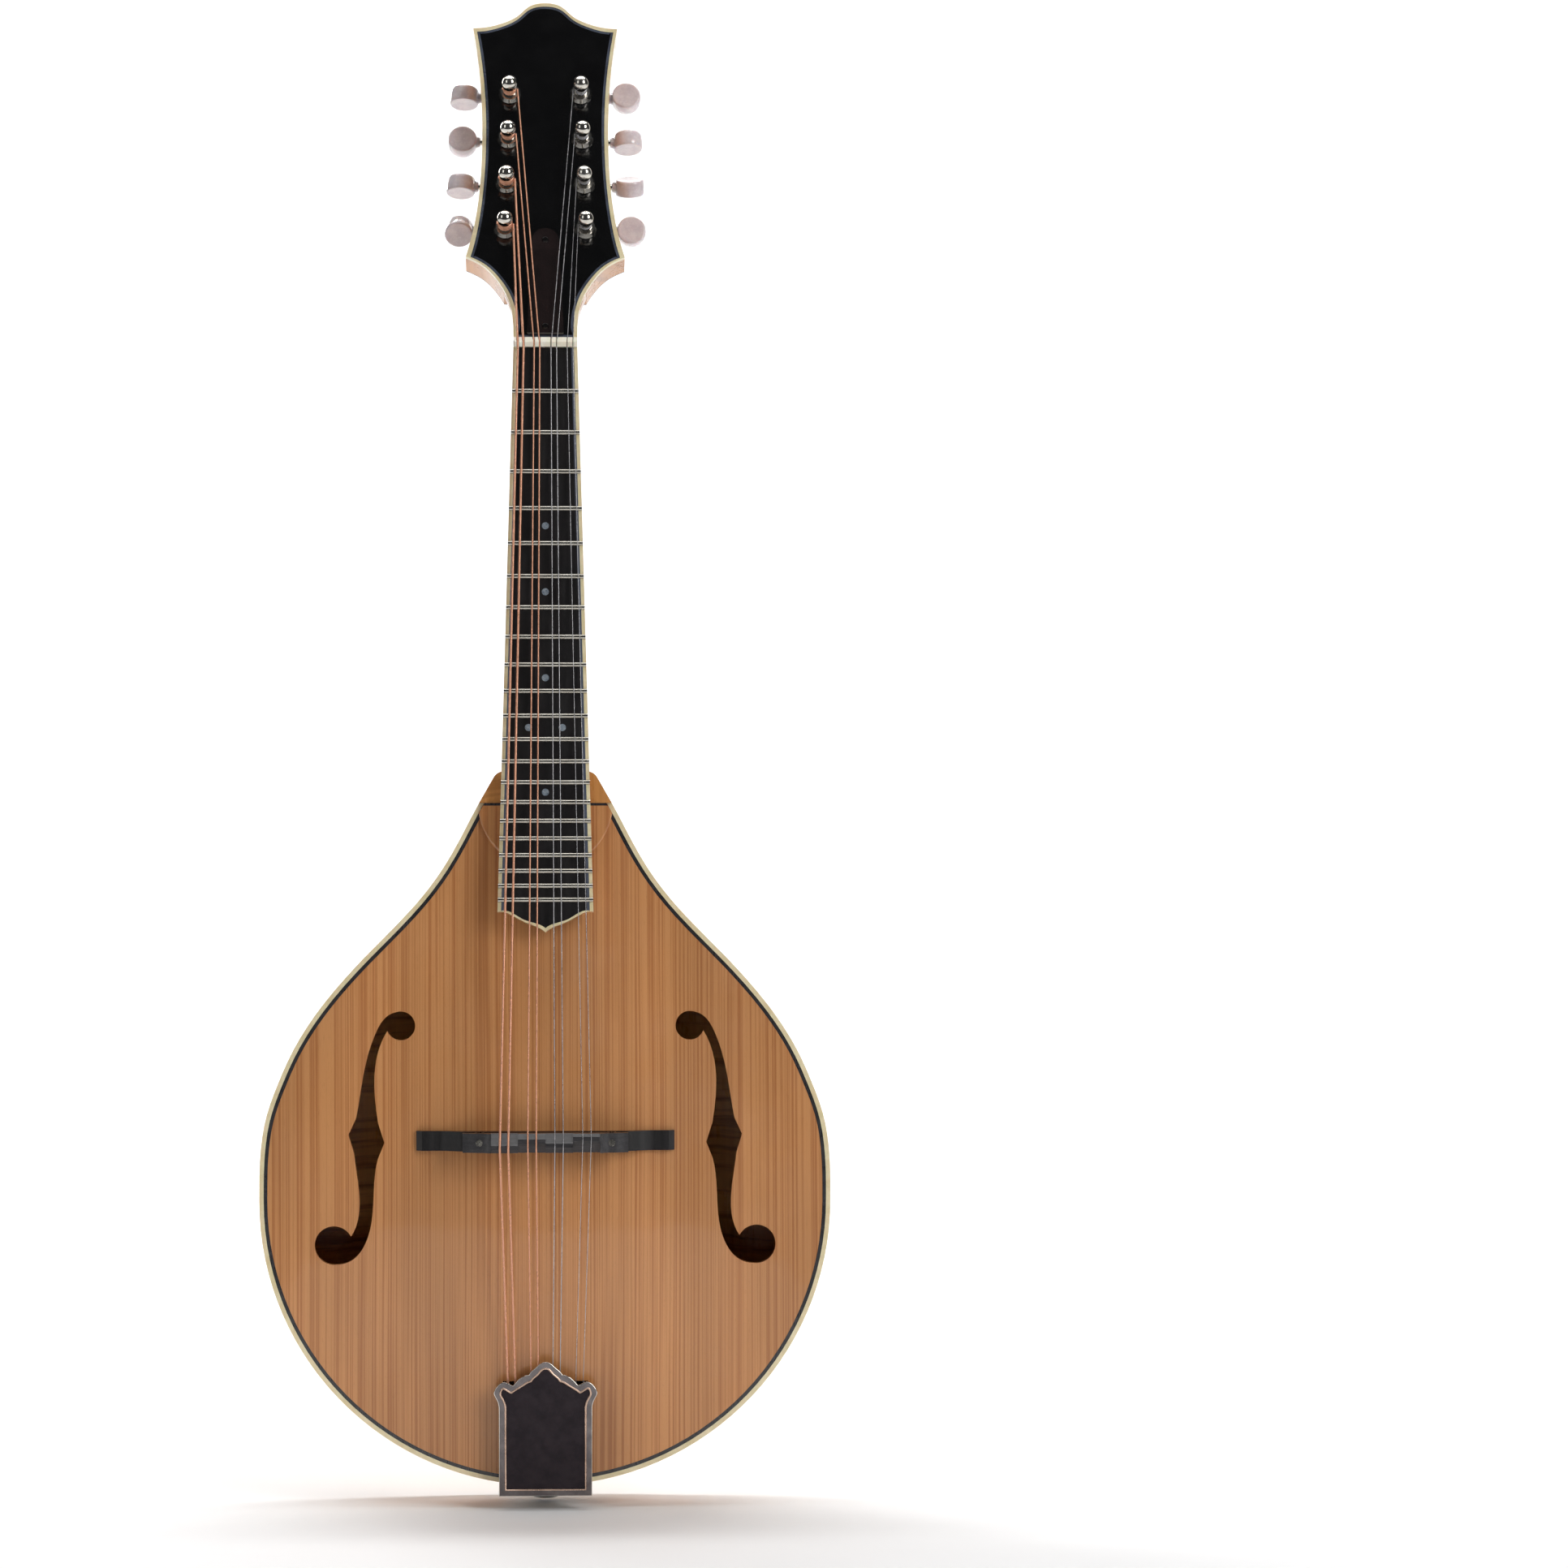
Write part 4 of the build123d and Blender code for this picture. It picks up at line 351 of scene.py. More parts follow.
class Shader:
    """One material: a Principled shader with a place to read patterns at."""

    def __init__(self, name: str, **sockets: object) -> None:
        """Starts the material.

        Args:
            name: Name of the material.
            **sockets: Principled inputs by name, with underscores for spaces.
        """
        self.material = bpy.data.materials.new(name)
        self.material.use_nodes = True
        self.material.node_tree.nodes.clear()
        self.c = Canvas(self.material.node_tree)
        self.out = self.c.node("ShaderNodeOutputMaterial")
        self.main = self.c.node("ShaderNodeBsdfPrincipled")
        self.c.join(self.main.outputs[0], self.out.inputs[0])
        for label, value in sockets.items():
            self.main.inputs[label.replace("_", " ")].default_value = value
        self.place = self.c.node("ShaderNodeTexCoord").outputs["Object"]

    def effect(self, name: str, build: Callable[[str], bpy.types.NodeTree],
               **values: object) -> bpy.types.Node:
        """Places a shared group.

        Args:
            name: Name of the group.
            build: Function that makes it the first time.
            **values: Values of its inputs.

        Returns:
            The group node.
        """
        made = self.c.node("ShaderNodeGroup", node_tree=Effects.get(name, build))
        for label, value in values.items():
            self.c.put(made.inputs[label], value)
        if "Place" not in values:
            self.c.join(self.place, made.inputs["Place"])
        return made

    def bump(self, height: bpy.types.NodeSocket, strength: float, depth: float) -> None:
        """Raises the surface by a height pattern."""
        made = self.c.node("ShaderNodeBump")
        made.inputs["Strength"].default_value = strength
        made.inputs["Distance"].default_value = depth
        self.c.join(height, made.inputs["Height"])
        self.c.join(made.outputs[0], self.main.inputs["Normal"])

    def colour(self, value: bpy.types.NodeSocket) -> None:
        """Feeds the base colour."""
        self.c.join(value, self.main.inputs["Base Color"])

    def rough(self, value: bpy.types.NodeSocket) -> None:
        """Feeds the roughness."""
        self.c.join(value, self.main.inputs["Roughness"])


@dataclass(frozen=True)
class WoodFinish:
    """Lacquered wood with grain and, on maple, flame."""

    name: str
    light: Colour
    dark: Colour
    pore: Colour
    lines: float = 700.0
    line_share: float = 0.5
    flame_share: float = 0.0
    bands: float = 95.0
    lean: float = 0.2
    sway: float = 0.02
    waver: float = 0.35
    coat: float = 0.5
    rough: Tuple[float, float] = (0.25, 0.4)
    black_above: float = 9.0

    def build(self) -> bpy.types.Material:
        """Makes the material."""
        s = Shader(self.name, Coat_Weight=self.coat, Coat_Roughness=0.06, Coat_IOR=1.5, IOR=1.5)
        c = s.c
        grain = s.effect("grain", Effects.grain, Lines=self.lines, Waver=self.waver)
        touch = s.effect("handling", Effects.handling, Low=self.rough[0], High=self.rough[1], Size=40.0)
        tone = c.blend(c.maths("MULTIPLY", grain.outputs["Line"], self.line_share),
                       rgba(self.light), rgba(self.dark))
        if self.flame_share:
            flame = s.effect("flame", Effects.flame, Bands=self.bands, Lean=self.lean, Sway=self.sway)
            tone = c.blend(c.maths("MULTIPLY", flame.outputs["Band"], self.flame_share),
                           tone, rgba(self.pore))
        tone = c.blend(c.maths("MULTIPLY", grain.outputs["Pore"], 0.25), tone, rgba(self.pore))
        broad = c.span(grain.outputs["Broad"], 0.3, 0.7, 0.86, 1.1)
        shade = c.node("ShaderNodeVectorMath", operation="SCALE")
        c.join(tone, shade.inputs[0])
        c.join(broad, shade.inputs["Scale"])
        parts = c.node("ShaderNodeSeparateXYZ")
        c.join(s.place, parts.inputs[0])
        stained = c.maths("GREATER_THAN", parts.outputs[2], self.black_above)
        s.colour(c.blend(stained, shade.outputs[0], rgba(srgb(8, 7, 7))))
        s.rough(touch.outputs["Roughness"])
        s.bump(grain.outputs["Height"], 0.12, 0.0002)
        return s.material


@dataclass(frozen=True)
class MetalFinish:
    """Bare or plated metal with handling marks."""

    name: str
    tint: Colour
    shade: Colour
    rough: Tuple[float, float] = (0.08, 0.22)
    size: float = 90.0
    bump: float = 0.03
    metallic: float = 1.0

    def build(self) -> bpy.types.Material:
        """Makes the material."""
        s = Shader(self.name, Metallic=self.metallic)
        low, high = self.rough
        touch = s.effect("handling", Effects.handling, Low=low, High=high, Size=self.size)
        specks = s.effect("speckle", Effects.speckle, Cloud=140.0, Speck=2400.0)
        share = s.c.maths("MULTIPLY", specks.outputs["Cloud"], 0.6)
        s.colour(s.c.blend(share, rgba(self.tint), rgba(self.shade)))
        s.rough(touch.outputs["Roughness"])
        s.bump(touch.outputs["Height"], self.bump, 0.0002)
        return s.material


@dataclass(frozen=True)
class SmoothFinish:
    """Plastic, bone, pearl, ebony or lacquer: a cloudy colour with fine specks."""

    name: str
    light: Colour
    dark: Colour
    speck: Colour
    cloud: float = 120.0
    specks: float = 1500.0
    speck_share: float = 0.2
    rough: Tuple[float, float] = (0.2, 0.35)
    coat: float = 0.2
    subsurface: float = 0.0
    bump: float = 0.04
    stretch: Tuple[float, float, float] = (1.0, 1.0, 1.0)
    edge: Optional[Tuple[float, float, Colour]] = None

    def build(self) -> bpy.types.Material:
        """Makes the material."""
        s = Shader(self.name, Coat_Weight=self.coat, Coat_Roughness=0.05,
                   Subsurface_Weight=self.subsurface, Subsurface_Scale=0.002)
        plain = s.place
        s.place = s.c.stretched(s.place, self.stretch)
        look = s.effect("speckle", Effects.speckle, Cloud=self.cloud, Speck=self.specks)
        low, high = self.rough
        touch = s.effect("handling", Effects.handling, Low=low, High=high, Size=70.0)
        tone = s.c.blend(look.outputs["Cloud"], rgba(self.light), rgba(self.dark))
        share = s.c.maths("MULTIPLY", look.outputs["Speck"], self.speck_share)
        tone = s.c.blend(share, tone, rgba(self.speck))
        if self.edge:
            start, taper, colour = self.edge
            parts = s.c.node("ShaderNodeSeparateXYZ")
            s.c.join(plain, parts.inputs[0])
            reach = s.c.maths("SUBTRACT", start, s.c.maths("MULTIPLY", parts.outputs[2], taper))
            beyond = s.c.maths("GREATER_THAN", s.c.maths("ABSOLUTE", parts.outputs[0]), reach)
            tone = s.c.blend(beyond, tone, rgba(colour))
        s.colour(tone)
        s.rough(touch.outputs["Roughness"])
        s.bump(look.outputs["Speck"], self.bump, 0.0001)
        return s.material


@dataclass(frozen=True)
class WoundFinish:
    """Wire wrapped round a string's core, seen as fine ridges along the string, with painted shade in the
    grooves between them.
    """

    name: str
    tint: Colour
    painted_groove_shade: Colour
    pitch: float = 0.00035
    metallic: float = 0.5

    def build(self) -> bpy.types.Material:
        """Makes the material."""
        s = Shader(self.name, Metallic=self.metallic)
        parts = s.c.node("ShaderNodeSeparateXYZ")
        s.c.join(s.place, parts.inputs[0])
        turns = s.c.maths("MULTIPLY", parts.outputs[2], 2 * math.pi / self.pitch)
        wave = s.c.maths("MULTIPLY", s.c.maths("ADD", s.c.maths("SINE", turns), 1.0), 0.5)
        touch = s.effect("handling", Effects.handling, Low=0.2, High=0.38, Size=80.0)
        # the darker colour in the grooves between the windings is painted shade
        s.colour(s.c.blend(wave, rgba(self.painted_groove_shade), rgba(self.tint)))
        s.rough(touch.outputs["Roughness"])
        s.bump(wave, 0.4, 0.00006)
        return s.material


class Palette:
    """Every finish of the instrument, made once."""

    def __init__(self) -> None:
        """Builds the materials."""
        self.spruce = WoodFinish("spruce", srgb(203, 143, 90), srgb(172, 109, 62), srgb(124, 74, 40),
                                 lines=1150.0, line_share=0.85, coat=0.45, rough=(0.3, 0.45)).build()
        self.maple_back = WoodFinish("maple_back", srgb(226, 164, 88), srgb(210, 142, 70), srgb(164, 96, 38),
                                     lines=420.0, line_share=0.35, flame_share=0.75, bands=330.0, sway=0.008,
                                     lean=0.08, coat=0.6).build()
        self.maple_sides = WoodFinish("maple_sides", srgb(214, 148, 78), srgb(196, 128, 62),
                                      srgb(140, 76, 30),
                                      lines=300.0, line_share=0.3, flame_share=0.6, lean=0.0, bands=260.0,
                                      coat=0.6).build()
        self.maple_neck = WoodFinish("maple_neck", srgb(206, 144, 82), srgb(180, 116, 60), srgb(124, 70, 30),
                                     lines=500.0, line_share=0.4, flame_share=0.4, bands=240.0, coat=0.7,
                                     black_above=0.15).build()
        self.inner_wood = WoodFinish("inner_wood", srgb(205, 170, 122), srgb(180, 140, 95),
                                     srgb(140, 100, 62),
                                     coat=0.0, rough=(0.6, 0.75)).build()
        self.ebony = SmoothFinish("ebony", srgb(24, 21, 22), srgb(15, 13, 14), srgb(52, 46, 45), cloud=80.0,
                                  specks=1400.0, speck_share=0.35, rough=(0.3, 0.45), coat=0.15,
                                  stretch=(4.0, 4.0, 0.25)).build()
        self.board = SmoothFinish("board_ebony", srgb(24, 21, 22), srgb(15, 13, 14), srgb(52, 46, 45),
                                  cloud=80.0,
                                  specks=1400.0, speck_share=0.35, rough=(0.3, 0.45), coat=0.15,
                                  stretch=(4.0, 4.0, 0.25), edge=(0.0115, 0.02727, srgb(78, 84, 98))).build()
        self.saddle_ebony = SmoothFinish("saddle_ebony", srgb(58, 56, 58), srgb(38, 37, 39), srgb(96, 92, 92),
                                         speck_share=0.3, rough=(0.3, 0.42), stretch=(0.3, 4.0, 4.0)).build()
        self.lacquer = SmoothFinish("black_lacquer", srgb(7, 7, 8), srgb(4, 4, 5), srgb(16, 16, 18),
                                    speck_share=0.15, rough=(0.1, 0.18), coat=0.5, bump=0.01).build()
        self.plastic = SmoothFinish("black_plastic", srgb(34, 24, 24), srgb(26, 19, 19), srgb(48, 38, 36),
                                    rough=(0.12, 0.22), coat=0.6, bump=0.015).build()
        self.binding = SmoothFinish("binding", srgb(240, 226, 188), srgb(226, 208, 164), srgb(200, 176, 128),
                                    rough=(0.2, 0.3), coat=0.6, subsurface=0.15, speck_share=0.25).build()
        self.purfling = SmoothFinish("purfling", srgb(52, 50, 52), srgb(36, 35, 37), srgb(84, 80, 78),
                                     rough=(0.25, 0.35), coat=0.5).build()
        self.bone = SmoothFinish("bone", srgb(244, 240, 226), srgb(232, 224, 202), srgb(206, 190, 158),
                                 rough=(0.22, 0.34), coat=0.2, subsurface=0.2).build()
        self.pearl = SmoothFinish("pearl", srgb(150, 160, 168), srgb(98, 110, 124), srgb(186, 194, 196),
                                  cloud=900.0, specks=2500.0, speck_share=0.4, rough=(0.1, 0.2),
                                  coat=0.8).build()
        self.pearloid = SmoothFinish("pearloid", srgb(226, 214, 214), srgb(210, 196, 200),
                                     srgb(240, 232, 232),
                                     cloud=260.0, specks=900.0, speck_share=0.5, rough=(0.12, 0.22), coat=0.6,
                                     subsurface=0.2).build()
        self.nickel = MetalFinish("nickel", srgb(226, 222, 214), srgb(196, 190, 180)).build()
        self.nickel_silver = MetalFinish("nickel_silver", srgb(206, 202, 192), srgb(168, 162, 150),
                                         rough=(0.18, 0.34)).build()
        self.steel_wire = MetalFinish("steel_wire", srgb(190, 188, 190), srgb(150, 150, 154),
                                      rough=(0.2, 0.35),
                                      metallic=0.7).build()
        self.blackened = MetalFinish("blackened", srgb(52, 50, 50), srgb(30, 29, 30),
                                     rough=(0.28, 0.4)).build()
        self.rod_steel = MetalFinish("rod_steel", srgb(150, 148, 146), srgb(110, 108, 106),
                                     rough=(0.35, 0.5)).build()
        # darker copy of the nickel for the tailpiece cover: painted shade, since the cover is the same nickel
        # as the base
        self.shaded_nickel = MetalFinish("nickel_painted_shade", srgb(128, 122, 122), srgb(84, 80, 82)).build()
        self.warm_nickel = MetalFinish("warm_nickel", srgb(232, 200, 178), srgb(190, 158, 138),
                                       rough=(0.2, 0.34),
                                       metallic=0.7).build()
        self.line = SmoothFinish("inlay_line", srgb(78, 84, 98), srgb(58, 62, 74), srgb(100, 104, 112),
                                 rough=(0.2, 0.3), coat=0.8).build()
        self.panel = MetalFinish("dark_panel", srgb(62, 56, 60), srgb(46, 42, 46), rough=(0.42, 0.55),
                                 size=300.0, bump=0.08).build()
        # second colour: painted shade in the grooves of the winding
        self.bronze = WoundFinish("wound_bronze", srgb(246, 190, 158), srgb(206, 138, 108)).build()


def dress(names: Iterable[str], material: bpy.types.Material) -> None:
    """Gives CAD nodes a material.

    Args:
        names: Node names.
        material: The finish.
    """
    for name in names:
        mesh = frame["nodes"][name].data
        mesh.materials.clear()
        mesh.materials.append(material)
        LOG.info("dressed %s with %s", name, material.name)


def piece(name: str, mesh: bmesh.types.BMesh, material: bpy.types.Material, body: str,
          smooth: bool = True, levels: int = 0, replaces: Sequence[str] = ()) -> bpy.types.Object:
    """Makes a mesh into a piece that rides on a body.

    Args:
        name: Piece name.
        mesh: Its shape, in the row frame; freed here.
        material: Its finish.
        body: Body that it moves with.
        smooth: Whether its faces are shaded smooth.
        levels: Subdivision levels.
        replaces: CAD nodes that it stands for.

    Returns:
        The new object.
    """
    data = bpy.data.meshes.new(name)
    bmesh.ops.recalc_face_normals(mesh, faces=mesh.faces)
    mesh.to_mesh(data)
    mesh.free()
    made = bpy.data.objects.new(name, data)
    bpy.context.scene.collection.objects.link(made)
    data.materials.append(material)
    data.polygons.foreach_set("use_smooth", [smooth] * len(data.polygons))
    if levels:
        soft = made.modifiers.new("soften", "SUBSURF")
        soft.levels = levels
        soft.render_levels = levels
    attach(made, body)
    if replaces:
        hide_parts(*replaces)
    LOG.info("built %s", name)
    return made


def tube(name: str, runs: Sequence[Sequence[Vector]], radius: float, material: bpy.types.Material, body: str,
         closed: bool = False) -> bpy.types.Object:
    """Round tubes along paths, as one curve piece.

    Args:
        name: Piece name.
        runs: Points of each path.
        radius: Tube radius.
        material: Its finish.
        body: Body that it moves with.
        closed: Whether each path joins its own start.

    Returns:
        The new object.
    """
    data = bpy.data.curves.new(name, "CURVE")
    data.dimensions = "3D"
    data.bevel_depth = radius
    data.bevel_resolution = 3
    data.use_fill_caps = True
    for run in runs:
        spline = data.splines.new("POLY")
        spline.points.add(len(run) - 1)
        for point, place in zip(spline.points, run):
            point.co = (*place, 1.0)
        spline.use_cyclic_u = closed
    made = bpy.data.objects.new(name, data)
    bpy.context.scene.collection.objects.link(made)
    data.materials.append(material)
    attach(made, body)
    LOG.info("built %s", name)
    return made


def chains(edges: Sequence[Tuple[int, int]]) -> List[List[int]]:
    """Closed chains of point numbers from loose edges, longest first.

    Args:
        edges: Pairs of point numbers.

    Returns:
        Each chain's point numbers in order.
    """
    near: Dict[int, List[int]] = {}
    for first, second in edges:
        near.setdefault(first, []).append(second)
        near.setdefault(second, []).append(first)
    left = set(near)
    found = []
    while left:
        run = [min(left)]
        left.discard(run[0])
        while True:
            ahead = next((n for n in near[run[-1]] if n in left), None)
            if ahead is None:
                break
            run.append(ahead)
            left.discard(ahead)
        found.append(run)
    return sorted(found, key=len, reverse=True)


def outline(node: str, facing: Vector, keep: Callable[[float], bool] = lambda height: True) -> List[Vector]:
    """Outer edge of a CAD node's faces that look one way.

    Args:
        node: Node name.
        facing: The way that they look.
        keep: Which faces count, by how far each lies along the way.

    Returns:
        Points of the longest closed edge, in order.
    """
    mesh = frame["nodes"][node].data
    places: Dict[Tuple[int, ...], int] = {}
    points: List[Vector] = []
    shared: Dict[Tuple[int, int], int] = {}
    for p in mesh.polygons:
        if p.normal.dot(facing) < 0.97 or not keep(p.center.dot(facing)):
            continue
        ring = []
        for v in p.vertices:
            co = mesh.vertices[v].co
            key = tuple(round(x * 1e6) for x in co)
            if key not in places:
                places[key] = len(points)
                points.append(co.copy())
            ring.append(places[key])
        for first, second in zip(ring, ring[1:] + ring[:1]):
            pair = (min(first, second), max(first, second))
            shared[pair] = shared.get(pair, 0) + 1
    runs = chains([pair for pair, count in shared.items() if count == 1])

    def girth(run: List[int]) -> float:
        """Length round a chain."""
        return sum((points[a] - points[b]).length for a, b in zip(run, run[1:] + run[:1]))

    return [points[i] for i in max(runs, key=girth)]


def inlay(name: str, edge: Sequence[Vector], facing: Vector, inset: float, width: float,
          material: bpy.types.Material, body: str) -> bpy.types.Object:
    """Flat line let in beside an edge.

    Args:
        name: Piece name.
        edge: Points of the closed edge.
        facing: The way that the face looks.
        inset: Gap from the edge, in millimetres.
        width: Width of the line, in millimetres.
        material: Its finish.
        body: Body that it moves with.

    Returns:
        The new object.
    """
    middle = sum(edge, Vector()) / len(edge)
    turned = sum(((a - middle).cross(b - middle).dot(facing) for a, b in zip(edge, edge[1:])), 0.0)
    hand = 1 if turned > 0 else -1
    mesh = bmesh.new()
    sides: List[List[bmesh.types.BMVert]] = [[], []]
    for i, place in enumerate(edge):
        along = (edge[(i + 1) % len(edge)] - edge[i - 1]).normalized()
        inward = facing.cross(along).normalized() * hand
        for side, reach in zip(sides, (inset, inset + width)):
            side.append(mesh.verts.new(place + inward * reach * MM + facing * 0.03 * MM))
    for i in range(len(edge)):
        j = (i + 1) % len(edge)
        mesh.faces.new([sides[0][i], sides[0][j], sides[1][j], sides[1][i]])
    return piece(name, mesh, material, body, smooth=False)


def joint(name: str) -> Dict[str, object]:
    """Joint of that name in the record."""
    return next(j for j in frame["record"]["behaviour"]["joints"] if j["name"] == name)


@dataclass
class Body:
    """The carved top and back, the ribs and what trims them."""

    def dress(self, palette: Palette) -> None:
        """Gives the body's nodes their finishes."""
        dress(["top_plate"], palette.spruce)
        dress(["back_plate_bass", "back_plate_treble"], palette.maple_back)
        dress(["ribs"], palette.maple_sides)
        dress(["linings", "head_block", "tail_block", "tone_bars"], palette.inner_wood)
        dress(["body_binding"], palette.binding)
        dress(["purfling"], palette.purfling)


@dataclass
class Neck:
    """The neck, its fingerboard and the peghead's faces."""

    def dress(self, palette: Palette) -> None:
        """Gives the neck's nodes their finishes."""
        dress(["neck"], palette.maple_neck)
        dress(["fingerboard"], palette.board)
        dress(["fingerboard_binding", "peghead_binding"], palette.binding)
        dress(["frets"], palette.nickel_silver)
        dress(["nut"], palette.bone)
        dress(["position_dots"], palette.pearl)
        dress(["peghead_overlay", "peghead_back_veneer"], palette.lacquer)
        dress(["truss_rod_cover"], palette.plastic)
        dress(["truss_cover_screws"], palette.blackened)
        dress(["truss_rod"], palette.rod_steel)

    def build(self, palette: Palette) -> None:
        """Lays the dark line inside the peghead's binding."""
        edge = outline("peghead_overlay", PEG_FACE)
        inlay("peghead_line", edge, PEG_FACE, 0.1, 1.1, palette.line, "instrument")


@dataclass
class Strings:
    """The strings and their windings on the posts."""

    wind_low: float = 6.5
    post_waist: float = 2.5
    radii: Dict[Side, Tuple[float, ...]] = field(default_factory=lambda: {
        Side.BASS: (0.33, 0.33, 0.5, 0.5), Side.TREBLE: (0.2, 0.2, 0.14, 0.14)})
    turns: Dict[Side, float] = field(default_factory=lambda: {Side.BASS: 4.0, Side.TREBLE: 6.0})
    per_turn: int = 20

    def dress(self, palette: Palette) -> None:
        """Gives the strings their finishes."""
        dress(["wound_strings"], palette.bronze)
        dress(["plain_strings"], palette.steel_wire)

    def winding(self, side: Side, place: int, palette: Palette) -> None:
        """Coil of string on one post, with the short cut end that stands off it.

        Args:
            side: Side of the peghead.
            place: Post number, 1 at the tip.
            palette: The finishes.
        """
        turn = joint(f"post_turn_{side.value}_{place}")
        axis = Vector(turn["axis"])
        centre = Vector(turn["pos_m"])
        thick = self.radii[side][place - 1]
        reach = (self.post_waist + thick) * MM
        across = axis.cross(Vector((0, 0, 1))).normalized()
        other = axis.cross(across)
        run = []
        for i in range(int(self.turns[side] * self.per_turn) + 1):
            angle = 2 * math.pi * i / self.per_turn * -side.sign
            lift = (self.wind_low + min(2 * thick, 0.9) * i / self.per_turn) * MM
            run.append(centre + axis * lift + (across * math.cos(angle) + other * math.sin(angle)) * reach)
        ending = run[-1] + axis * 0.8 * MM + (run[-1] - run[-2]).normalized() * 1.8 * MM
        run.append(ending)
        tag = f"{side.value}_{place}"
        if side is Side.BASS:
            tube(f"winding_{tag}", [run], thick * MM, palette.bronze, f"post_{tag}")
        else:
            tube(f"winding_{tag}", [run], thick * MM, palette.steel_wire, f"post_{tag}")

    def build(self, palette: Palette) -> None:
        """Winds a string on each post."""
        for side in Side:
            for place in range(1, 5):
                self.winding(side, place, palette)


@dataclass
class Button:
    """One tuner button: a pillow-cut disc on a short collar."""

    side: Side
    place: int
    turn: float
    radius: float = 6.75
    thick: float = 7.5
    away: float = 21.2
    collar: float = 2.3
    around: int = 28

    def build(self, palette: Palette) -> None:
        """Builds the button in the place of its plain solid."""
        tag = f"{self.side.value}_{self.place}"
        shaft = joint(f"button_turn_{tag}")
        axis = Vector(shaft["axis"])
        centre = Vector(shaft["pos_m"]) + axis * self.away * MM
        up = -PEG_UP
        flat = Quaternion(axis, math.radians(self.turn)) @ (axis.cross(up)).normalized()
        side_way = flat.cross(axis).normalized()
        mesh = bmesh.new()
        # rings from one face's middle, over the rounded rim, to the other face's middle
        half = [(0.0, 0.46), (0.5, 0.465), (0.8, 0.485), (0.91, 0.49), (0.975, 0.43), (0.99, 0.2)]
        profile = half + [(1.01, 0.0)] + [(share, -height) for share, height in reversed(half)]
        rings: List[List[bmesh.types.BMVert]] = []
        for share, height in profile:
            ring = []
            for i in range(self.around if share else 1):
                angle = 2 * math.pi * i / self.around
                outward = axis * math.cos(angle) + side_way * math.sin(angle)
                over = flat * height * self.thick
                ring.append(mesh.verts.new(centre + (outward * self.radius * share + over) * MM))
            rings.append(ring)
        for first, second in zip(rings, rings[1:]):
            for i in range(self.around):
                j = (i + 1) % self.around
                corners = {first[i % len(first)]: None, first[j % len(first)]: None,
                           second[j % len(second)]: None, second[i % len(second)]: None}
                if len(corners) > 2:
                    mesh.faces.new(list(corners))
        # collar that takes the shaft
        stem = []
        for reach, width in ((8.15, 2.1), (7.9, 2.35), (6.9, 2.5), (6.0, 3.0)):
            ring = []
            for i in range(16):
                angle = 2 * math.pi * i / 16
                outward = flat * math.cos(angle) + side_way * math.sin(angle)
                ring.append(mesh.verts.new(centre + (outward * width - axis * reach) * MM))
            stem.append(ring)
        mesh.faces.new(stem[0])
        for first, second in zip(stem, stem[1:]):
            for i in range(16):
                j = (i + 1) % 16
                mesh.faces.new([first[i], first[j], second[j], second[i]])
        piece(f"button_{tag}", mesh, palette.pearloid, f"shaft_{tag}", levels=1,
              replaces=[f"tuner_button_{tag}"])


@dataclass
class Tuners:
    """The two tuner plates, their gears and buttons."""

    turns: Dict[Side, Tuple[float, ...]] = field(default_factory=lambda: {
        Side.BASS: (90.0, 0.0, 90.0, 125.0), Side.TREBLE: (0.0, 90.0, 130.0, 10.0)})

    def dress(self, palette: Palette) -> None:
        """Gives the plates, posts, worms and bushings their finishes."""
        dress(["tuner_plates", "tuner_plate_screws", "post_bushings"], palette.nickel)
        for side in Side:
            for place in range(1, 5):
                tag = f"{side.value}_{place}"
                dress([f"tuner_post_{tag}", f"tuner_worm_{tag}"], palette.nickel)

    def build(self, palette: Palette) -> None:
        """Builds the buttons."""
        for side in Side:
            for place in range(1, 5):
                Button(side, place, self.turns[side][place - 1]).build(palette)


@dataclass
class Bridge:
    """The two-piece bridge and its wheels."""

    def dress(self, palette: Palette) -> None:
        """Gives the bridge's nodes their finishes."""
        dress(["bridge_base"], palette.ebony)
        dress(["bridge_saddle"], palette.saddle_ebony)
        dress(["bridge_studs"], palette.nickel_silver)
        dress(["bridge_wheel_bass", "bridge_wheel_treble"], palette.blackened)


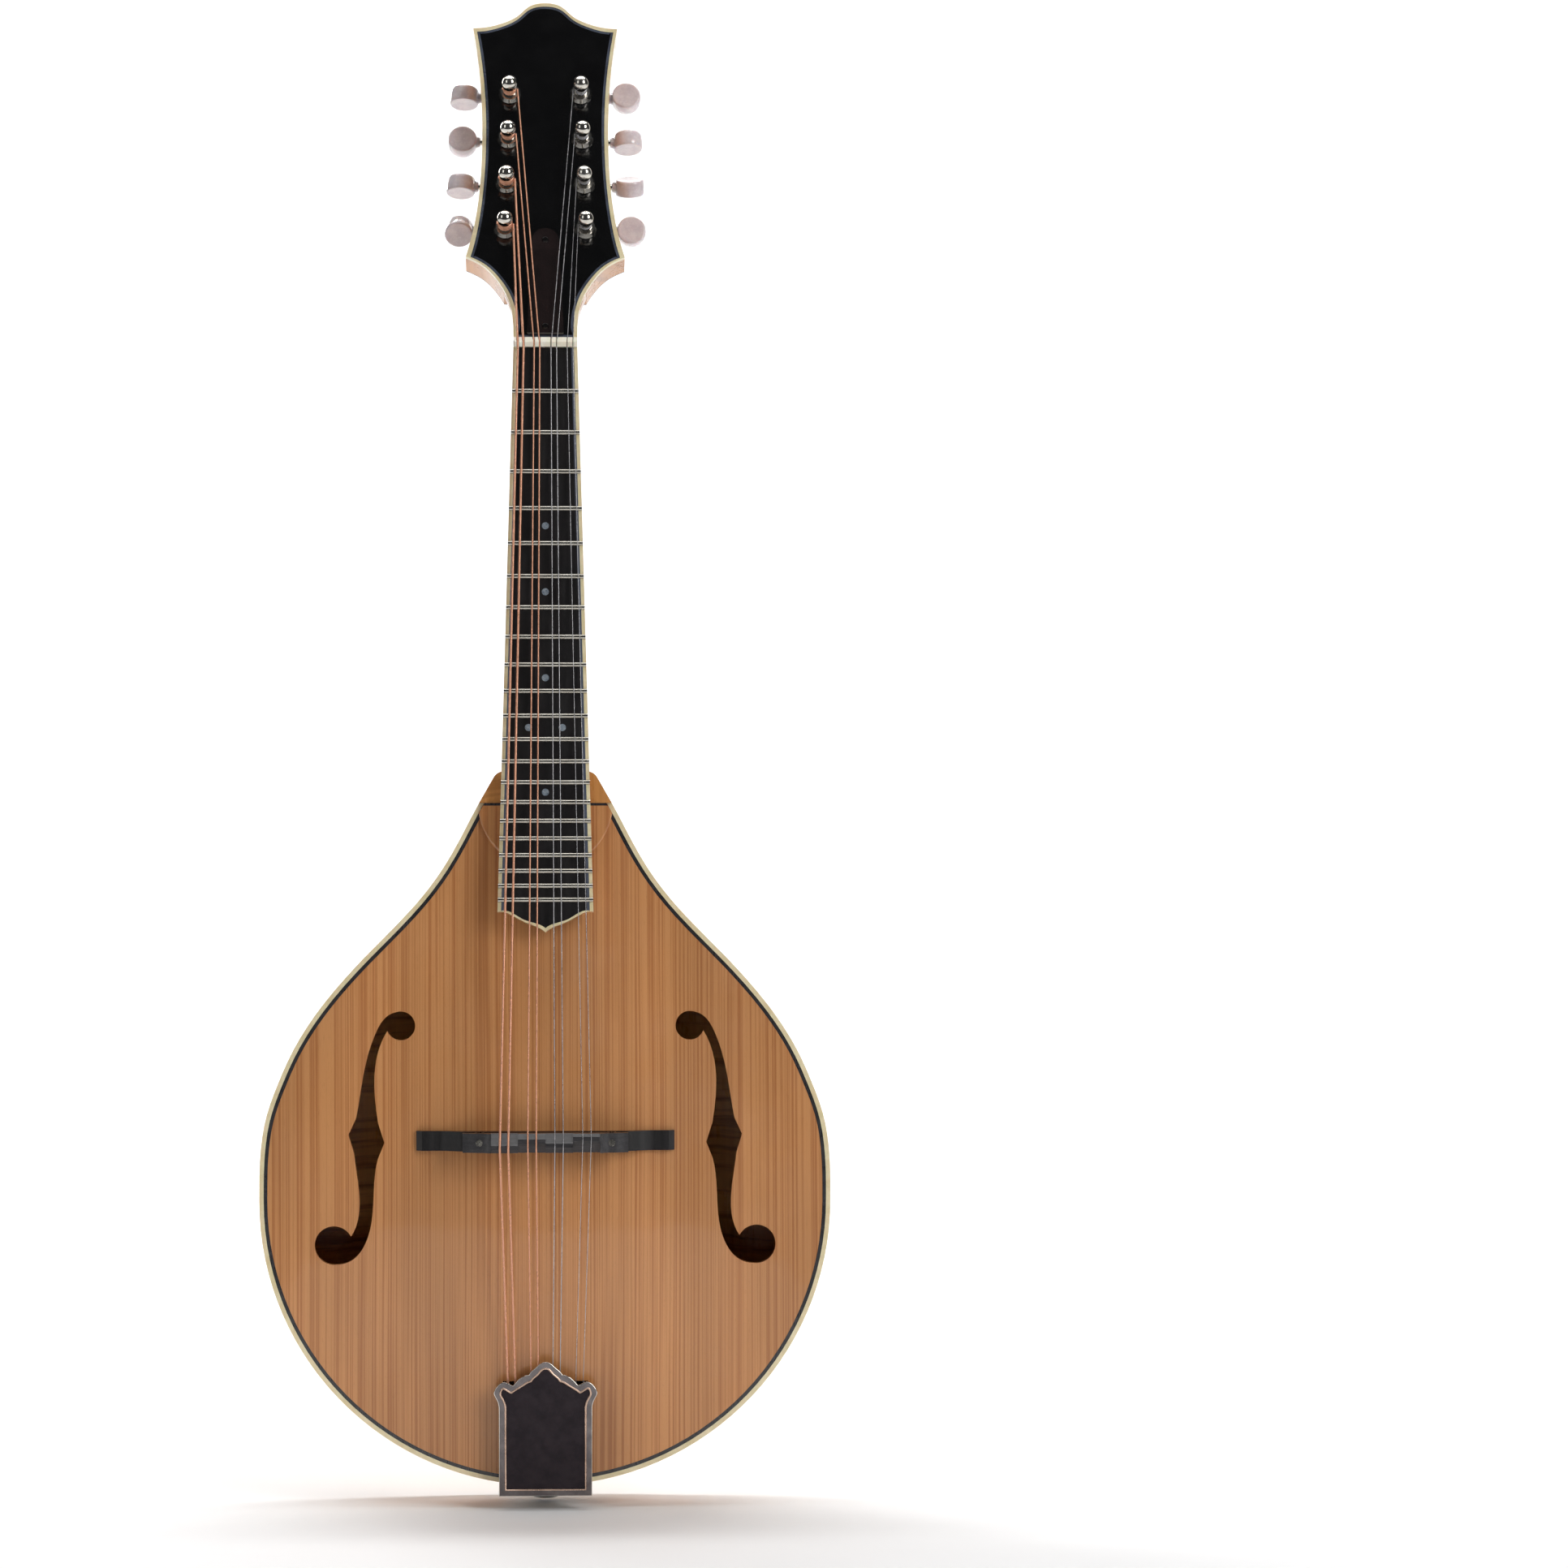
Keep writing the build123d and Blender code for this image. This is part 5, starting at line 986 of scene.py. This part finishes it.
@dataclass
class Tailpiece:
    """The stamped tailpiece with its dark panel, raised border and end pin."""

    sink: float = 0.35
    bead: float = 0.45
    rim: float = 0.35

    def dress(self, palette: Palette) -> None:
        """Gives the tailpiece's nodes their finishes."""
        dress(["tailpiece_base"], palette.nickel)
        # the cover gets the darker copy of the nickel: painted shade
        dress(["tailpiece_cover"], palette.shaded_nickel)
        dress(["tailpiece_screws"], palette.blackened)
        dress(["end_pin"], palette.plastic)

    def build(self, palette: Palette) -> None:
        """Lays the dark panel in the cover's recess and a raised bead round it."""
        mesh = frame["nodes"]["tailpiece_cover"].data
        front = [p for p in mesh.polygons if p.normal.y < -0.98]
        total = Vector()
        for p in front:
            total += p.normal * p.area
        out = total.normalized()
        level = [(max(mesh.vertices[v].co.dot(out) for v in p.vertices), p) for p in front]
        top = max(height for height, p in level)
        sunk = [p for height, p in level if abs(height - (top - self.sink * MM)) < 0.08 * MM]
        used: Dict[Tuple[int, int, int], bmesh.types.BMVert] = {}
        panel = bmesh.new()
        for p in sunk:
            corners = []
            for v in p.vertices:
                co = mesh.vertices[v].co
                key = tuple(round(x * 1e6) for x in co)
                if key not in used:
                    used[key] = panel.verts.new(co + out * 0.06 * MM)
                corners.append(used[key])
            if len(set(corners)) > 2:
                try:
                    panel.faces.new(corners)
                except ValueError:
                    LOG.info("skipped a doubled face")
        border = [e for e in panel.edges if len(e.link_faces) == 1]
        run = self.loop(border)
        piece("tailpiece_panel", panel, palette.panel, "cover", smooth=False)
        raised = [place + out * self.sink * 0.6 * MM for place in run]
        tube("tailpiece_border", [raised], self.bead * MM, palette.warm_nickel, "cover",
             closed=True)
        edge = outline("tailpiece_cover", out, lambda height: abs(height - top) < self.sink * 0.5 * MM)
        rim = [place - out * self.rim * MM for place in edge]
        tube("tailpiece_rim", [rim], self.rim * MM, palette.nickel, "cover", closed=True)

    @staticmethod
    def loop(edges: Sequence[bmesh.types.BMEdge]) -> List[Vector]:
        """Points of a closed loop of edges in order.

        Args:
            edges: The edges.

        Returns:
            Their points, once round.
        """
        left = list(edges)
        first = left.pop()
        run = [first.verts[0], first.verts[1]]
        while left:
            here = next((e for e in left if run[-1] in e.verts), None)
            if here is None:
                break
            left.remove(here)
            run.append(here.other_vert(run[-1]))
        return [v.co.copy() for v in run[:-1]]


@dataclass
class Studio:
    """The pale floor, the soft lights and the camera."""

    floor: float = -0.517
    distance: float = 2.31265
    height: float = -0.1816
    flat: float = 2.1
    sweep: float = 0.8

    def surface(self) -> bpy.types.Material:
        """Pale matte paper with a faint tooth."""
        pale, mid, low = ((grey, grey, grey) for grey in (0.86, 0.84, 0.8))
        return SmoothFinish("paper", pale, mid, low, cloud=3.0, specks=220.0, speck_share=0.1,
                            rough=(0.7, 0.85), coat=0.0, bump=0.01).build()

    def build(self) -> None:
        """Builds the floor that sweeps up into the backdrop."""
        mesh = bmesh.new()
        profile = [(-0.8, 0.0), (self.flat, 0.0)]
        for i in range(1, 13):
            angle = math.pi / 2 * i / 12
            profile.append((self.flat + self.sweep * math.sin(angle), self.sweep * (1 - math.cos(angle))))
        profile.append((self.flat + self.sweep, 3.2))
        rows = [[mesh.verts.new((x, y, self.floor + z)) for x in (-4.0, 4.0)] for y, z in profile]
        for first, second in zip(rows, rows[1:]):
            mesh.faces.new([first[0], first[1], second[1], second[0]])
        data = bpy.data.meshes.new("floor")
        mesh.to_mesh(data)
        mesh.free()
        data.polygons.foreach_set("use_smooth", [True] * len(data.polygons))
        floor = bpy.data.objects.new("floor", data)
        bpy.context.scene.collection.objects.link(floor)
        data.materials.append(self.surface())
        floor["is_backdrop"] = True

    def lamp(self, name: str, place: Colour, size: Tuple[float, float], power: float, target: Colour) -> None:
        """Adds a soft rectangular light.

        Args:
            name: Light name.
            place: Where it stands.
            size: Its width and height.
            power: Its power in watts.
            target: Point that it faces.
        """
        data = bpy.data.lights.new(name, "AREA")
        data.shape = "RECTANGLE"
        data.size, data.size_y = size
        data.energy = power
        made = bpy.data.objects.new(name, data)
        made.location = place
        aim = Vector(target) - Vector(place)
        made.rotation_euler = aim.to_track_quat("-Z", "Y").to_euler()
        bpy.context.scene.collection.objects.link(made)

    def light(self) -> None:
        """Lights the scene softly from above, the left and the front."""
        world = bpy.data.worlds.new("studio")
        world.use_nodes = True
        back = next(n for n in world.node_tree.nodes if n.type == "BACKGROUND")
        back.inputs[0].default_value = (0.95, 0.97, 1.0, 1.0)
        back.inputs[1].default_value = 0.05
        tree = world.node_tree
        seen = tree.nodes.new("ShaderNodeBackground")
        seen.inputs[0].default_value = (1.0, 1.0, 1.0, 1.0)
        path = tree.nodes.new("ShaderNodeLightPath")
        mixed = tree.nodes.new("ShaderNodeMixShader")
        output = next(n for n in tree.nodes if n.type == "OUTPUT_WORLD")
        tree.links.new(path.outputs["Is Camera Ray"], mixed.inputs[0])
        tree.links.new(back.outputs[0], mixed.inputs[1])
        tree.links.new(seen.outputs[0], mixed.inputs[2])
        tree.links.new(mixed.outputs[0], output.inputs[0])
        bpy.context.scene.world = world
        self.lamp("key", (1.9, -1.9, 0.9), (1.2, 1.8), 45, (0, 0, -0.2))
        self.lamp("fill", (-2.0, -1.7, 0.7), (1.0, 1.8), 7, (0, 0, -0.2))
        self.lamp("top", (0.0, -0.4, 2.0), (2.2, 0.9), 17, (0, 0, -0.3))
        self.lamp("rear", (-1.5, 1.9, 0.9), (1.2, 1.4), 26, (0, 0, -0.2))
        self.lamp("backdrop", (0.0, 0.9, 2.3), (3.6, 0.6), 110, (0, 2.8, 0.2))

    def camera(self) -> None:
        """Sets the camera in front of the body, turned a little to the right."""
        data = bpy.data.cameras.new("camera")
        data.sensor_width = 36.0
        data.lens = 118.34
        made = bpy.data.objects.new("camera", data)
        made.location = (0.0, -self.distance, self.height)
        made.rotation_euler = (math.radians(90 - 0.325), 0.0, math.radians(-2.65))
        bpy.context.scene.collection.objects.link(made)
        bpy.context.scene.camera = made
        bpy.context.scene.view_settings.view_transform = "Standard"


def main() -> None:
    """Builds and dresses the instrument, then sets the studio round it."""
    palette = Palette()
    Body().dress(palette)
    neck = Neck()
    neck.dress(palette)
    neck.build(palette)
    Bridge().dress(palette)
    strings = Strings()
    strings.dress(palette)
    strings.build(palette)
    tuners = Tuners()
    tuners.dress(palette)
    tuners.build(palette)
    tailpiece = Tailpiece()
    tailpiece.dress(palette)
    tailpiece.build(palette)
    studio = Studio()
    studio.build()
    studio.light()
    studio.camera()
    new_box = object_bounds()
    boxes = {"cad": CAD_BOX, "visual": new_box}
    {name: [list(corner) for corner in box] for name, box in boxes.items()}


if __name__ == "__main__":
    main()
